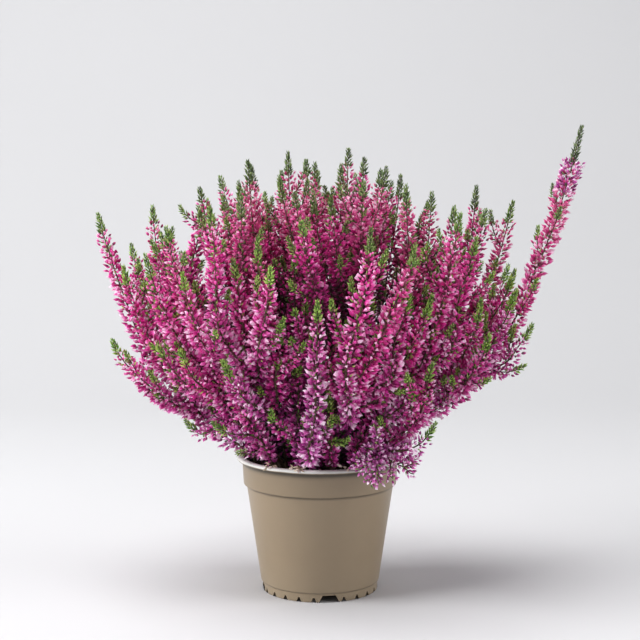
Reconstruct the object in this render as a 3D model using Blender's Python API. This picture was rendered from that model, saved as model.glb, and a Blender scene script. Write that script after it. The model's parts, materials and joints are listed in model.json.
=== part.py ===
"""A flowering heather in its plastic nursery pot: pot, soil, woody stems and flowering sprays.

Metres, +Z up. Everything is measured from the foot of the pot's axis. Azimuths turn from +X, the side
that the plant's tall leading shoot leans to, and -Y is the front. The finished pieces are then moved
together, so that the origin is on the surface that the pot stands on, under the middle of the whole plant.
"""

import math
import random
from dataclasses import dataclass, field

import bmesh
import bpy
import numpy as np
from mathutils import Matrix

# Where the pot's axis stands, seen from the middle of the plant
POT_PLACE = (-0.0109, -0.0058, 0.0)

# Pot, 11 cm across its lip
POT_HEIGHT = 0.090
LIP_RADIUS = 0.055
LIP_DEPTH = 0.0028
COLLAR_TOP_RADIUS = 0.0516
COLLAR_FOOT_RADIUS = 0.0507
COLLAR_DEPTH = 0.0157
BODY_TOP_RADIUS = 0.0487
BODY_FOOT_RADIUS = 0.0393
WALL = 0.0011
EDGE = 0.0008
FOOT_HEIGHT = 0.0062
FOOT_RADIUS = 0.0383
FOOT_WALL = 0.0018
FLOOR_HEIGHT = 0.0052
FLOOR_THICKNESS = 0.0014
POT_SEGMENTS = 36
SHARP_ANGLE = math.radians(35.0)
NOTCH_PLACES = 24
WIDE_NOTCH_EVERY = 6
FIRST_NOTCH_TURN = math.radians(-81.0)
SMALL_NOTCH_WIDTH = 0.0036
SMALL_NOTCH_TOP = 0.0011
SMALL_NOTCH_HEIGHT = 0.0030
WIDE_NOTCH_WIDTH = 0.0135
WIDE_NOTCH_TOP = 0.0085
WIDE_NOTCH_HEIGHT = 0.0046
NOTCH_OVERRUN = 0.0027
DRAIN_HOLES = 4
DRAIN_HOLE_RADIUS = 0.0042
DRAIN_HOLE_RING = 0.026
DRAIN_HOLE_SIDES = 8

# Soil, filled to a little under the lip
GAP = 0.0003
SOIL_TOP = 0.0825
SOIL_RELIEF = 0.0011
SOIL_WAVES = ((210.0, 0.0, 1.3), (0.0, 170.0, 1.0), (390.0, -300.0, 0.0))
SOIL_SEGMENTS = 20
SOIL_RINGS = 3
HOLE_DEPTH = 0.012
HOLE_SIDES = 5

# Growth. A tier is a ring of shoots, as (shoots, reach along X, share of it in front, share behind,
# lowest tip, highest tip).
SEED = 7
CROWN_HEIGHT = 0.080
TIERS = (
    (21, 0.118, 0.66, 0.86, 0.160, 0.188),
    (26, 0.129, 0.72, 0.88, 0.198, 0.228),
    (23, 0.113, 0.80, 0.90, 0.232, 0.258),
    (19, 0.083, 0.86, 0.92, 0.252, 0.276),
    (12, 0.049, 0.92, 0.94, 0.264, 0.288),
    (5, 0.019, 1.00, 1.00, 0.276, 0.292),
)
REACH_DRAW = 0.10
TURN_DRAW = 0.22
# Tips of the shoots that give the plant its outline, as (x, y, z). Each takes the nearest drawn one's place.
OUTLINE_TIPS = (
    (0.168, -0.012, 0.306),
    (-0.146, 0.006, 0.249),
    (-0.134, -0.022, 0.169),
    (0.137, -0.020, 0.179),
    (0.128, 0.016, 0.257),
    (0.104, 0.020, 0.267),
)
DOME_SPRAYS = 20
DOME_DEPTH = 0.85
GOLDEN_ANGLE = math.pi * (3 - math.sqrt(5))
SOIL_SPREAD = 0.035
LOWEST_RISE = math.radians(32.0)
LARGEST_LEAN = math.radians(78.0)
LIP_CLEARANCE = 0.018
FORK_RANGE = (0.22, 0.46)
FORK_SHARE = 0.42
FORK_DRAW = 0.10
# How a curve leaves its start and reaches its tip: the length of each pull as a share of the whole way,
# and how far it follows the direction it sets out with against the way up.
LEADER_PULLS = (0.40, 0.45)
LEADER_AIM = 0.45
SIDE_PULLS = (0.38, 0.40)
SIDE_ALONG = 0.45
SIDE_AWAY = 0.80
SIDE_AIM = 0.60
RIM_PULL = 0.35
# Sprays on short stems at the rim: the stem's azimuth, then each shoot's tip as (azimuth, radius, height).
RIM_SPRAYS = (
    (-104, ((-108, 0.061, 0.161), (-121, 0.066, 0.132), (-95, 0.062, 0.128))),
    (-80, ((-81, 0.061, 0.143), (-74, 0.064, 0.112))),
    (-58, ((-64, 0.068, 0.157), (-47, 0.084, 0.150))),
    (-40, ((-62, 0.077, 0.084), (-46, 0.084, 0.097), (-38, 0.092, 0.121))),
    (-136, ((-134, 0.080, 0.166), (-146, 0.082, 0.120))),
    (178, ((172, 0.078, 0.144), (-172, 0.088, 0.116))),
    (132, ((140, 0.082, 0.128), (124, 0.076, 0.150))),
    (84, ((80, 0.074, 0.146), (94, 0.078, 0.118))),
    (38, ((42, 0.080, 0.150), (30, 0.088, 0.120))),
)
RIM_STEM_RING = 0.0425
RIM_RISE = 0.028
DROOP_BELOW = 0.100
DROOP_RISE = 0.020

# Shoots
PATH_POINTS = 28
STEM_RADIUS = 0.0019
RIM_STEM_RADIUS = 0.0014
STEM_TAPER = 0.2
STEM_MARGIN = 0.0006
BARE_LENGTH = 0.018
RIM_BARE_LENGTH = 0.008
SIDE_BARE_LENGTH = 0.009
CORE_RADIUS = 0.0023
FORK_RADIUS = 0.0016
FLORET_RADIUS = 0.0072
TOP_FLORET_RADIUS = 0.0048
TAPER_LENGTH = 0.045
TAPER_SHARE = 0.30
LEAFY_TIP = 0.012
LEAFY_TIP_RADIUS = 0.0030
LEAFY_CORE_SHARE = 0.55
START_SLOPE = 0.60
FLORET_PITCH = 0.0084
INNER_PITCH = 0.0180
PITCH_DRAW = 0.07
INNER_SHARE = 0.30
FLORET_LIFT = 0.0028
CORNERS = 4
CORNER_TURN = math.radians(20.0)
STEM_SIDES = 4

# Growing room
CLEARANCE = 0.0008
FORK_EASE = 0.030
RELAX_ROUNDS = 60
PUSH_SHARE = 0.45
STIFFNESS = 0.04
LEADER_LOOSENING = 6.0
SIDE_LOOSENING = 4.0
SLAB = 0.016

UP = np.array([0.0, 0.0, 1.0])
# Any direction that no shoot starts along, from which the first side direction is taken
ASKEW = np.array([0.31, 0.83, 0.12])


@dataclass
class Spray:
    """The shoots that one woody stem carries."""

    hole: tuple[float, float]
    tips: list
    bare: float
    stem_radius: float
    at_rim: bool = False


@dataclass
class Shoot:
    """One shoot: the points it runs through, its spray, and where it leaves that spray's first shoot."""

    path: np.ndarray
    spray: int
    leader: int | None = None
    fork: int | None = None
    radii: np.ndarray = field(default_factory=lambda: np.zeros(0))

    @property
    def run(self):
        """How far along the shoot each of its points lies."""
        return lengths_along(self.path)


def clear_scene():
    """Starts from an empty scene."""
    for obj in list(bpy.data.objects):
        bpy.data.objects.remove(obj, do_unlink=True)


def material(name, colour, roughness):
    """A plain Principled finish."""
    made = bpy.data.materials.new(name)
    made.use_nodes = True
    shader = made.node_tree.nodes["Principled BSDF"]
    shader.inputs["Base Color"].default_value = (*colour, 1.0)
    shader.inputs["Roughness"].default_value = roughness
    shader.inputs["Metallic"].default_value = 0.0
    return made


def new_object(name, shape, finish=None):
    """Links what a bmesh holds to the scene, under its node's name."""
    mesh = bpy.data.meshes.new(name)
    shape.to_mesh(mesh)
    shape.free()
    obj = bpy.data.objects.new(name, mesh)
    bpy.context.scene.collection.objects.link(obj)
    if finish:
        mesh.materials.append(finish)
    return obj


def boolean_with(obj, others, operation):
    """Joins or cuts an object with a group of helpers, which are then removed."""
    group = bpy.data.collections.new(obj.name + "_helpers")
    bpy.context.scene.collection.children.link(group)
    for other in others:
        bpy.context.scene.collection.objects.unlink(other)
        group.objects.link(other)
    modifier = obj.modifiers.new(operation.title(), "BOOLEAN")
    modifier.operation = operation
    modifier.operand_type = "COLLECTION"
    modifier.collection = group
    modifier.solver = "EXACT"
    bpy.context.view_layer.update()
    graph = bpy.context.evaluated_depsgraph_get()
    mesh = bpy.data.meshes.new_from_object(obj.evaluated_get(graph))
    obj.modifiers.clear()
    obj.data = mesh
    for other in others:
        bpy.data.objects.remove(other, do_unlink=True)
    bpy.data.collections.remove(group)


def keep_body(obj):
    """Leaves only an object's largest body, so that a hollow sealed by joining is filled."""
    shape = bmesh.new()
    shape.from_mesh(obj.data)
    left = set(shape.verts)
    bodies = []
    while left:
        body = {left.pop()}
        edge = list(body)
        while edge:
            vertex = edge.pop()
            near = {link.other_vert(vertex) for link in vertex.link_edges} & left
            left -= near
            body |= near
            edge.extend(near)
        bodies.append(body)
    largest = max(bodies, key=len)
    bmesh.ops.delete(shape, geom=[v for v in shape.verts if v not in largest], context="VERTS")
    shape.to_mesh(obj.data)
    shape.free()


def turned(name, profile, segments, finish):
    """Turns a profile of (radius, height) points, which starts and ends on the axis, round the Z axis."""
    shape = bmesh.new()
    points = [shape.verts.new((radius, 0.0, height)) for radius, height in profile]
    edges = [shape.edges.new(pair) for pair in zip(points, points[1:])]
    bmesh.ops.spin(
        shape,
        geom=points + edges,
        cent=(0, 0, 0),
        axis=(0, 0, 1),
        angle=math.tau,
        steps=segments,
        use_merge=True,
    )
    bmesh.ops.remove_doubles(shape, verts=shape.verts, dist=1e-5)
    bmesh.ops.recalc_face_normals(shape, faces=shape.faces)
    return new_object(name, shape, finish)


def prism(name, outline, length, place):
    """A straight bar along its own X, whose section is an outline of (y, z) points."""
    shape = bmesh.new()
    face = shape.faces.new([shape.verts.new((0.0, y, z)) for y, z in outline])
    extruded = bmesh.ops.extrude_face_region(shape, geom=[face])["geom"]
    moved = [v for v in extruded if isinstance(v, bmesh.types.BMVert)]
    bmesh.ops.translate(shape, verts=moved, vec=(length, 0, 0))
    bmesh.ops.recalc_face_normals(shape, faces=shape.faces)
    bmesh.ops.transform(shape, matrix=place, verts=shape.verts)
    return new_object(name, shape)


def upright_cylinder(name, centre, radius, low, high, sides):
    """A cylinder between two heights, used as a cutter."""
    shape = bmesh.new()
    bmesh.ops.create_cone(
        shape,
        cap_ends=True,
        segments=sides,
        radius1=radius,
        radius2=radius,
        depth=high - low,
        matrix=Matrix.Translation((centre[0], centre[1], (low + high) / 2)),
    )
    return new_object(name, shape)


def inner_outline():
    """The pot's inside from its floor to its lip, as (radius, height) points."""
    collar_foot = POT_HEIGHT - LIP_DEPTH - COLLAR_DEPTH
    shelf = collar_foot + 0.8 * WALL
    return [
        (BODY_FOOT_RADIUS - WALL, FLOOR_HEIGHT + FLOOR_THICKNESS),
        (BODY_TOP_RADIUS - WALL, shelf - EDGE),
        (COLLAR_FOOT_RADIUS - WALL, shelf),
        (COLLAR_TOP_RADIUS - WALL, POT_HEIGHT - EDGE),
    ]


def inner_radius(height):
    """The pot's inside radius at a height."""
    radii, heights = zip(*inner_outline())
    return float(np.interp(height, heights, radii))


def notch_cutter(place):
    """The cutter for one of the notches round the foot ring. Every sixth is a wide one."""
    wide = place % WIDE_NOTCH_EVERY == 0
    half_foot = (WIDE_NOTCH_WIDTH if wide else SMALL_NOTCH_WIDTH) / 2
    half_top = (WIDE_NOTCH_TOP if wide else SMALL_NOTCH_TOP) / 2
    height = WIDE_NOTCH_HEIGHT if wide else SMALL_NOTCH_HEIGHT
    outline = [
        (-half_foot, -FOOT_WALL),
        (half_foot, -FOOT_WALL),
        (half_foot, 0.0),
        (half_top, height),
        (-half_top, height),
        (-half_foot, 0.0),
    ]
    turn = Matrix.Rotation(FIRST_NOTCH_TURN + math.tau * place / NOTCH_PLACES, 4, "Z")
    start = Matrix.Translation((FOOT_RADIUS - FOOT_WALL - NOTCH_OVERRUN, 0, 0))
    return prism("notch", outline, FOOT_WALL + 2 * NOTCH_OVERRUN, turn @ start)


def drain_cutter(hole):
    """The cutter for one of the holes through the pot's floor."""
    turn = FIRST_NOTCH_TURN + math.tau * (hole + 0.5) / DRAIN_HOLES
    centre = (DRAIN_HOLE_RING * math.cos(turn), DRAIN_HOLE_RING * math.sin(turn))
    low, high = FLOOR_HEIGHT - FLOOR_THICKNESS, FLOOR_HEIGHT + 2 * FLOOR_THICKNESS
    return upright_cylinder("drain", centre, DRAIN_HOLE_RADIUS, low, high, DRAIN_HOLE_SIDES)


def pot(finish):
    """The nursery pot: lip, collar, tapered wall, raised floor with drain holes, notched foot ring."""
    collar_top = POT_HEIGHT - LIP_DEPTH
    collar_foot = collar_top - COLLAR_DEPTH
    inside = inner_outline()
    profile = [
        (0.0, FLOOR_HEIGHT),
        (FOOT_RADIUS - FOOT_WALL, FLOOR_HEIGHT),
        (FOOT_RADIUS - FOOT_WALL, 0.0),
        (FOOT_RADIUS, 0.0),
        (FOOT_RADIUS, FOOT_HEIGHT - EDGE),
        (BODY_FOOT_RADIUS, FOOT_HEIGHT),
        (BODY_TOP_RADIUS, collar_foot - EDGE),
        (COLLAR_FOOT_RADIUS, collar_foot),
        (COLLAR_TOP_RADIUS, collar_top),
        (LIP_RADIUS - EDGE, collar_top),
        (LIP_RADIUS, collar_top + EDGE),
        (LIP_RADIUS - EDGE, POT_HEIGHT),
        (inside[-1][0] + EDGE, POT_HEIGHT),
        *reversed(inside),
        (0.0, inside[0][1]),
    ]
    body = turned("pot", profile, POT_SEGMENTS, finish)
    cutters = [notch_cutter(place) for place in range(NOTCH_PLACES)]
    cutters += [drain_cutter(hole) for hole in range(DRAIN_HOLES)]
    boolean_with(body, cutters, "DIFFERENCE")
    body.data.shade_smooth()
    body.data.set_sharp_from_angle(angle=SHARP_ANGLE)


def soil(sprays, finish):
    """The plug of potting mix, uneven on top, with a plain hole for each stem."""
    inside = inner_outline()
    edge = inner_radius(SOIL_TOP) - 2 * GAP
    rings = [edge * (SOIL_RINGS - ring) / SOIL_RINGS for ring in range(SOIL_RINGS)]
    profile = [
        (0.0, inside[0][1] + GAP),
        (inside[0][0] - 2 * GAP, inside[0][1] + GAP),
        *((radius - 2 * GAP, height) for radius, height in inside[1:3]),
        *((radius, SOIL_TOP) for radius in rings),
        (0.0, SOIL_TOP),
    ]
    plug = turned("soil", profile, SOIL_SEGMENTS, finish)
    for vertex in plug.data.vertices:
        x, y, z = vertex.co
        if z > SOIL_TOP - EDGE and math.hypot(x, y) < edge - EDGE:
            first, second, third = (math.sin(a * x + b * y + c) for a, b, c in SOIL_WAVES)
            vertex.co.z = SOIL_TOP + SOIL_RELIEF * (first * second + third)
    low = SOIL_TOP - HOLE_DEPTH
    cutters = []
    for spray in sprays:
        radius = spray.stem_radius + 1.5 * GAP
        cutters.append(upright_cylinder("stem_hole", spray.hole, radius, low, POT_HEIGHT, HOLE_SIDES))
    boolean_with(plug, cutters, "DIFFERENCE")


def unit(vector):
    """The vector at length one."""
    return vector / np.linalg.norm(vector)


def lengths_along(line):
    """How far along a line each of its points lies."""
    return np.concatenate([[0.0], np.cumsum(np.linalg.norm(np.diff(line, axis=0), axis=1))])


def evenly(line, count):
    """The same line with its points evenly spaced."""
    run = lengths_along(line)
    at = np.linspace(0, run[-1], count)
    return np.stack([np.interp(at, run, line[:, axis]) for axis in range(3)], axis=1)


def bezier(start, first, second, end):
    """Evenly spaced points along a cubic curve."""
    t = np.linspace(0, 1, 8 * PATH_POINTS)[:, None]
    line = (1 - t) ** 3 * start + 3 * t * (1 - t) ** 2 * first + 3 * t * t * (1 - t) * second + t**3 * end
    return evenly(line, PATH_POINTS)


def polar(degrees, radius, height):
    """The point at an azimuth in degrees, a radius and a height."""
    turn = math.radians(degrees)
    return np.array([radius * math.cos(turn), radius * math.sin(turn), height])


def shoot_tips(rng):
    """The tips of the dome's shoots, tier by tier, with the outline tips in place of the nearest."""
    tips = []
    for number, (count, reach, front, behind, lowest, highest) in enumerate(TIERS):
        for k in range(count):
            turn = math.tau * (k + 0.5 * (number % 2) + TURN_DRAW * rng.uniform(-1, 1)) / count
            out = reach * (1 + REACH_DRAW * rng.uniform(-1, 1))
            depth = behind if math.sin(turn) > 0 else front
            height = rng.uniform(lowest, highest)
            tips.append(np.array([out * math.cos(turn), out * depth * math.sin(turn), height]))
    for outline_tip in OUTLINE_TIPS:
        wanted = np.array(outline_tip)
        away = [np.linalg.norm(tip - wanted) for tip in tips]
        tips[int(np.argmin(away))] = wanted
    return tips


def leader_path(spray, tip):
    """A stem's first shoot: upright in its hole, leaning out over the rim, turning up to its tip."""
    foot = np.array([*spray.hole, SOIL_TOP])
    aim = unit(tip - CROWN_HEIGHT * UP)
    level = np.array([aim[0], aim[1], 0.0])
    level = level / max(np.linalg.norm(level), 1e-6)
    steepness = (math.pi / 2 - math.asin(aim[2])) / (math.pi / 2 - LOWEST_RISE)
    lean = LARGEST_LEAN * min(steepness, 1.0)
    far = np.linalg.norm(tip - foot)
    first = foot + LEADER_PULLS[0] * far * (math.sin(lean) * level + math.cos(lean) * UP)
    first[2] = max(first[2], POT_HEIGHT + LIP_CLEARANCE)
    second = tip - LEADER_PULLS[1] * far * unit(LEADER_AIM * aim + UP)
    return bezier(foot, first, second, tip)


def rim_path(spray, tip):
    """A rim spray's first shoot: straight up past the lip, then out to its tip or over and down to it."""
    foot = np.array([*spray.hole, SOIL_TOP])
    far = np.linalg.norm(tip - foot)
    rise = DROOP_RISE if tip[2] < DROOP_BELOW else -RIM_PULL * far
    return bezier(foot, foot + RIM_RISE * UP, tip + rise * UP, tip)


def side_path(leader, fork, tip):
    """A side shoot that leaves the first shoot at a point and turns up to its own tip."""
    start = leader[fork]
    along = unit(leader[fork + 1] - leader[fork - 1])
    away = unit(tip - start)
    far = np.linalg.norm(tip - start)
    first = start + SIDE_PULLS[0] * far * unit(SIDE_ALONG * along + SIDE_AWAY * away)
    second = tip - SIDE_PULLS[1] * far * unit(SIDE_AIM * away + UP)
    return bezier(start, first, second, tip)


def plant_sprays(rng):
    """Every spray with its hole and its tips: the dome's shared out by direction, then the rim's."""
    sprays = []
    aims = []
    for k in range(DOME_SPRAYS):
        share = (k + 0.5) / DOME_SPRAYS
        turn = k * GOLDEN_ANGLE
        rise = math.asin(1 - share * (1 - math.sin(LOWEST_RISE)))
        level = math.cos(rise)
        aims.append(np.array([level * math.cos(turn), DOME_DEPTH * level * math.sin(turn), math.sin(rise)]))
        around = SOIL_SPREAD * math.sqrt(share)
        hole = (around * math.cos(turn), around * math.sin(turn))
        sprays.append(Spray(hole, [], BARE_LENGTH, STEM_RADIUS))
    for tip in shoot_tips(rng):
        aim = unit(tip - CROWN_HEIGHT * UP)
        sprays[int(np.argmax([aim @ unit(other) for other in aims]))].tips.append(tip)
    for degrees, tips in RIM_SPRAYS:
        hole = tuple(polar(degrees, RIM_STEM_RING, 0)[:2])
        tips = [polar(*tip) for tip in tips]
        sprays.append(Spray(hole, tips, RIM_BARE_LENGTH, RIM_STEM_RADIUS, at_rim=True))
    return [spray for spray in sprays if spray.tips]


def grow_shoots(sprays, rng):
    """The shoots of every spray. The first of a dome spray is the one nearest its middle."""
    shoots = []
    crown = CROWN_HEIGHT * UP
    for number, spray in enumerate(sprays):
        tips = spray.tips
        if not spray.at_rim:
            middle = unit(sum(unit(tip - crown) for tip in tips))
            tips = sorted(tips, key=lambda tip: -float((tip - crown) @ middle))
        leader = rim_path(spray, tips[0]) if spray.at_rim else leader_path(spray, tips[0])
        first = len(shoots)
        shoots.append(Shoot(leader, number))
        far = np.linalg.norm(tips[0] - crown)
        for tip in tips[1:]:
            share = FORK_SHARE * np.linalg.norm(tip - crown) / far + rng.uniform(-FORK_DRAW, FORK_DRAW)
            fork = round(min(max(share, FORK_RANGE[0]), FORK_RANGE[1]) * (PATH_POINTS - 1))
            shoots.append(Shoot(side_path(leader, fork, tip), number, first, fork))
    return shoots


def wanted_radii(shoot, sprays):
    """The radius that each point of a shoot has where there is room."""
    run = shoot.run
    left = run[-1] - run
    taper = min(TAPER_LENGTH, TAPER_SHARE * run[-1])
    flowers = np.interp(left, [LEAFY_TIP, LEAFY_TIP + taper], [TOP_FLORET_RADIUS, FLORET_RADIUS])
    radii = np.where(left < LEAFY_TIP, LEAFY_TIP_RADIUS, flowers)
    forked = shoot.leader is not None
    bare = SIDE_BARE_LENGTH if forked else sprays[shoot.spray].bare
    bare_radius = CORE_RADIUS if forked else sprays[shoot.spray].stem_radius + STEM_MARGIN
    radii = np.minimum(radii, CORE_RADIUS + START_SLOPE * np.maximum(run - bare, 0.0))
    return np.where(run < bare, bare_radius, radii)


def away_from_pot(points):
    """Each point's distance from the pot's lip and wall, and the way (outwards, up) that leads from them."""
    section = [
        (LIP_RADIUS - LIP_DEPTH / 2, POT_HEIGHT - LIP_DEPTH / 2),
        (COLLAR_TOP_RADIUS - WALL, POT_HEIGHT - LIP_DEPTH / 2),
        (COLLAR_FOOT_RADIUS - WALL, POT_HEIGHT - LIP_DEPTH - COLLAR_DEPTH),
        (BODY_FOOT_RADIUS, 0.0),
    ]
    at = np.stack([np.hypot(points[:, 0], points[:, 1]), points[:, 2]], axis=1)
    best = np.full(len(points), np.inf)
    way = np.zeros_like(at)
    for low, high in zip(section, section[1:]):
        low, high = np.array(low), np.array(high)
        share = np.clip((at - low) @ (high - low) / ((high - low) @ (high - low)), 0, 1)
        apart = at - low - share[:, None] * (high - low)
        away = np.linalg.norm(apart, axis=1)
        way = np.where((away < best)[:, None], apart / np.maximum(away, 1e-6)[:, None], way)
        best = np.minimum(best, away)
    return best - LIP_DEPTH / 2, way


def pot_push(points, radii):
    """How far each point has to move to clear the pot and to stay above the soil."""
    away, way = away_from_pot(points)
    short = np.maximum(radii + 2 * CLEARANCE - away, 0.0)[:, None]
    around = np.maximum(np.hypot(points[:, 0], points[:, 1]), 1e-6)[:, None]
    push = np.concatenate([points[:, :2] / around * way[:, :1] * short, way[:, 1:] * short], axis=1)
    sunk = np.maximum(SOIL_TOP + 2 * SOIL_RELIEF + radii + CLEARANCE - points[:, 2], 0.0)
    push[:, 2] += np.where(around[:, 0] < COLLAR_FOOT_RADIUS, sunk, 0.0)
    return push


def pot_room(points):
    """The radius that each point can have without reaching the pot or the soil."""
    away = away_from_pot(points)[0] - CLEARANCE
    around = np.hypot(points[:, 0], points[:, 1])
    above = np.maximum(points[:, 2] - SOIL_TOP - 2 * SOIL_RELIEF - GAP, CORE_RADIUS)
    return np.where(around < COLLAR_FOOT_RADIUS, np.minimum(away, above), away)


def close_pairs(points, radii, number, owner, past_fork):
    """Pairs of points of different shoots that are closer than their room, with how far they fall short."""
    reach = 2 * FLORET_RADIUS + CLEARANCE
    found = []
    for low in np.arange(points[:, 0].min(), points[:, 0].max() + SLAB, SLAB):
        inner = np.nonzero((points[:, 0] >= low) & (points[:, 0] < low + SLAB))[0]
        near = np.nonzero((points[:, 0] > low - reach) & (points[:, 0] < low + SLAB + reach))[0]
        apart = points[inner][:, None, :] - points[near][None, :, :]
        square = apart[:, :, 0] ** 2 + apart[:, :, 1] ** 2 + apart[:, :, 2] ** 2
        need = radii[inner][:, None] + radii[near][None, :] + CLEARANCE
        close = (square < need**2) & (number[inner][:, None] != number[near][None, :])
        first, second = np.nonzero(close)
        found.append((inner[first], near[second], need[close], np.sqrt(square[close])))
    first, second, need, away = (np.concatenate(column) for column in zip(*found))
    kin = owner[first] == owner[second]
    eased = np.where(kin, np.minimum(past_fork[first], past_fork[second]), 1.0)
    short = need * eased - away
    keep = short > 0
    return first[keep], second[keep], short[keep], away[keep]


def relax(sprays, shoots):
    """Moves the shoots apart until each has room for its florets, as growing shoots do."""
    paths = np.stack([shoot.path for shoot in shoots])
    radii = np.concatenate([wanted_radii(shoot, sprays) for shoot in shoots])
    number = np.repeat(np.arange(len(shoots)), PATH_POINTS)
    owner = np.repeat([shoot.spray for shoot in shoots], PATH_POINTS)
    forked = np.array([shoot.leader is not None for shoot in shoots])
    runs = np.stack([shoot.run for shoot in shoots])
    past_fork = np.where(forked[:, None], np.minimum(runs / FORK_EASE, 1.0), 1.0).ravel()
    ease = np.linspace(0, 1, PATH_POINTS)[:, None]
    loosening = np.where(forked, SIDE_LOOSENING, LEADER_LOOSENING)[:, None, None]
    freedom = np.minimum(ease[None] * loosening, 1.0)
    for _ in range(RELAX_ROUNDS):
        points = paths.reshape(-1, 3)
        first, second, short, away = close_pairs(points, radii, number, owner, past_fork)
        deepest = np.zeros((len(points), len(shoots)))
        np.maximum.at(deepest, (first, number[second]), short)
        chosen = short == deepest[first, number[second]]
        first, second, short, away = first[chosen], second[chosen], short[chosen], away[chosen]
        push = pot_push(points, radii)
        apart = (points[first] - points[second]) / np.maximum(away, 1e-6)[:, None]
        np.add.at(push, first, PUSH_SHARE * short[:, None] * apart)
        push = push.reshape(paths.shape)
        padded = np.concatenate([push[:, :1], push, push[:, -1:]], axis=1)
        paths = paths + (padded[:, :-2] + 2 * push + padded[:, 2:]) / 4 * freedom
        paths[:, 1:-1] += STIFFNESS * (paths[:, :-2] + paths[:, 2:] - 2 * paths[:, 1:-1])
        for i, shoot in enumerate(shoots):
            if shoot.leader is not None:
                paths[i] += (paths[shoot.leader][shoot.fork] - paths[i][0]) * (1 - ease) ** 2
        paths = np.round(paths, 7)
    for shoot, path in zip(shoots, paths):
        shoot.path = path


def measure_room(sprays, shoots):
    """Gives each point of each shoot the radius it can have without reaching another spray or the pot."""
    for shoot in shoots:
        shoot.path = evenly(shoot.path, 2 * PATH_POINTS)
    wanted = [wanted_radii(shoot, sprays) for shoot in shoots]
    for shoot, own in zip(shoots, wanted):
        others = [j for j, other in enumerate(shoots) if other.spray != shoot.spray]
        theirs = np.concatenate([wanted[j] for j in others])[None, :]
        points = np.concatenate([shoots[j].path for j in others])[None, :, :]
        away = np.linalg.norm(shoot.path[:, None, :] - points, axis=2) - CLEARANCE
        room = (away * own[:, None] / (own[:, None] + theirs)).min(axis=1)
        shoot.radii = np.minimum(np.minimum(own, pot_room(shoot.path)), room)


def frames_along(line):
    """A tangent and two side directions at each point, turned no more than the line turns."""
    tangents = np.gradient(line, axis=0)
    tangents /= np.linalg.norm(tangents, axis=1)[:, None]
    side = unit(np.cross(tangents[0], ASKEW))
    frames = []
    for tangent in tangents:
        side = unit(side - (side @ tangent) * tangent)
        frames.append((tangent, side, np.cross(tangent, side)))
    return np.array(frames)


def station_on(shoot, frames, station):
    """The centre and the frame at a distance along a shoot."""
    run = shoot.run
    centre = np.array([np.interp(station, run, shoot.path[:, axis]) for axis in range(3)])
    low = min(max(int(np.searchsorted(run, station)) - 1, 0), len(run) - 2)
    share = (station - run[low]) / (run[low + 1] - run[low])
    tangent = unit((1 - share) * frames[low][0] + share * frames[low + 1][0])
    side = frames[low][1] - (frames[low][1] @ tangent) * tangent
    return centre, tangent, unit(side), np.cross(tangent, unit(side))


def skinned(name, loops, finish):
    """A closed strand skinned over loops of points, each listed anticlockwise seen from the tip."""
    shape = bmesh.new()
    rows = [[shape.verts.new(point) for point in loop] for loop in loops]
    shape.faces.new(list(reversed(rows[0])))
    shape.faces.new(rows[-1])
    sides = len(rows[0])
    for number, (low, high) in enumerate(zip(rows, rows[1:])):
        for corner in range(sides):
            after = (corner + 1) % sides
            a, b, c, d = low[corner], low[after], high[after], high[corner]
            halves = ((a, b, d), (b, c, d)) if (corner + number) % 2 == 0 else ((a, b, c), (a, c, d))
            for half in halves:
                shape.faces.new(half)
    return new_object(name, shape, finish)


def floret_stations(length, start, inner_share, rng):
    """Distances along a shoot at which its rings of florets stand, wider apart inside the plant."""
    stations = [start]
    while True:
        inside = (stations[-1] - start) / (length - start) < inner_share
        pitch = (INNER_PITCH if inside else FLORET_PITCH) * (1 + PITCH_DRAW * rng.uniform(-1, 1))
        if stations[-1] + pitch > length - 0.4 * FLORET_PITCH:
            return [*stations, length]
        stations.append(stations[-1] + pitch)


def flowering_shoot(name, shoot, start, inner_share, finish, rng):
    """A shoot with its florets: every other corner of a ring stands out, lifted towards the tip.

    The next ring has its florets between them, and the leafy tip is slimmer.
    """
    frames = frames_along(shoot.path)
    length = shoot.run[-1]
    forked = shoot.leader is not None
    loops = []
    for number, station in enumerate(floret_stations(length, start, inner_share, rng)):
        centre, tangent, side, across = station_on(shoot, frames, station)
        room = float(np.interp(station, shoot.run, shoot.radii))
        leafy = length - station < LEAFY_TIP
        core = min(CORE_RADIUS * (LEAFY_CORE_SHARE if leafy else 1.0), LEAFY_CORE_SHARE * room)
        bare = station < SIDE_BARE_LENGTH if forked else number == 0
        if bare:
            core = FORK_RADIUS if forked and number == 0 else min(CORE_RADIUS, room)
        plain = bare or station == length or room < 2 * core
        raised = core if plain else room
        lift = 0.0 if plain else FLORET_LIFT
        loop = []
        for corner in range(CORNERS):
            turn = math.tau * corner / CORNERS + CORNER_TURN * number
            out = (corner + number) % 2 == 0
            point = centre + (raised if out else core) * (math.cos(turn) * side + math.sin(turn) * across)
            loop.append(point + (lift if out else 0.0) * tangent)
        loops.append(loop)
    return skinned(name, loops, finish)


def woody_stem(name, spray, leader, finish):
    """The bare woody stem of a spray, from the bottom of its hole to where the flowers begin."""
    frames = frames_along(leader.path)
    foot = leader.path[0]
    end = spray.bare - 1.2 * GAP
    places = [
        (foot - (HOLE_DEPTH - 2 * GAP) * UP, UP, 1 - STEM_TAPER),
        (foot + SOIL_RELIEF * UP, UP, 1.0),
    ]
    for share in (0.5, 1.0):
        centre, tangent, _, _ = station_on(leader, frames, share * end)
        places.append((centre, tangent, 1 - STEM_TAPER * share))
    side = np.array([1.0, 0.0, 0.0])
    loops = []
    for centre, tangent, share in places:
        side = unit(side - (side @ tangent) * tangent)
        across = np.cross(tangent, side)
        turns = [math.tau * k / STEM_SIDES for k in range(STEM_SIDES)]
        radius = spray.stem_radius * share
        loops.append([centre + radius * (math.cos(turn) * side + math.sin(turn) * across) for turn in turns])
    skinned(name, loops, finish)


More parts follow.
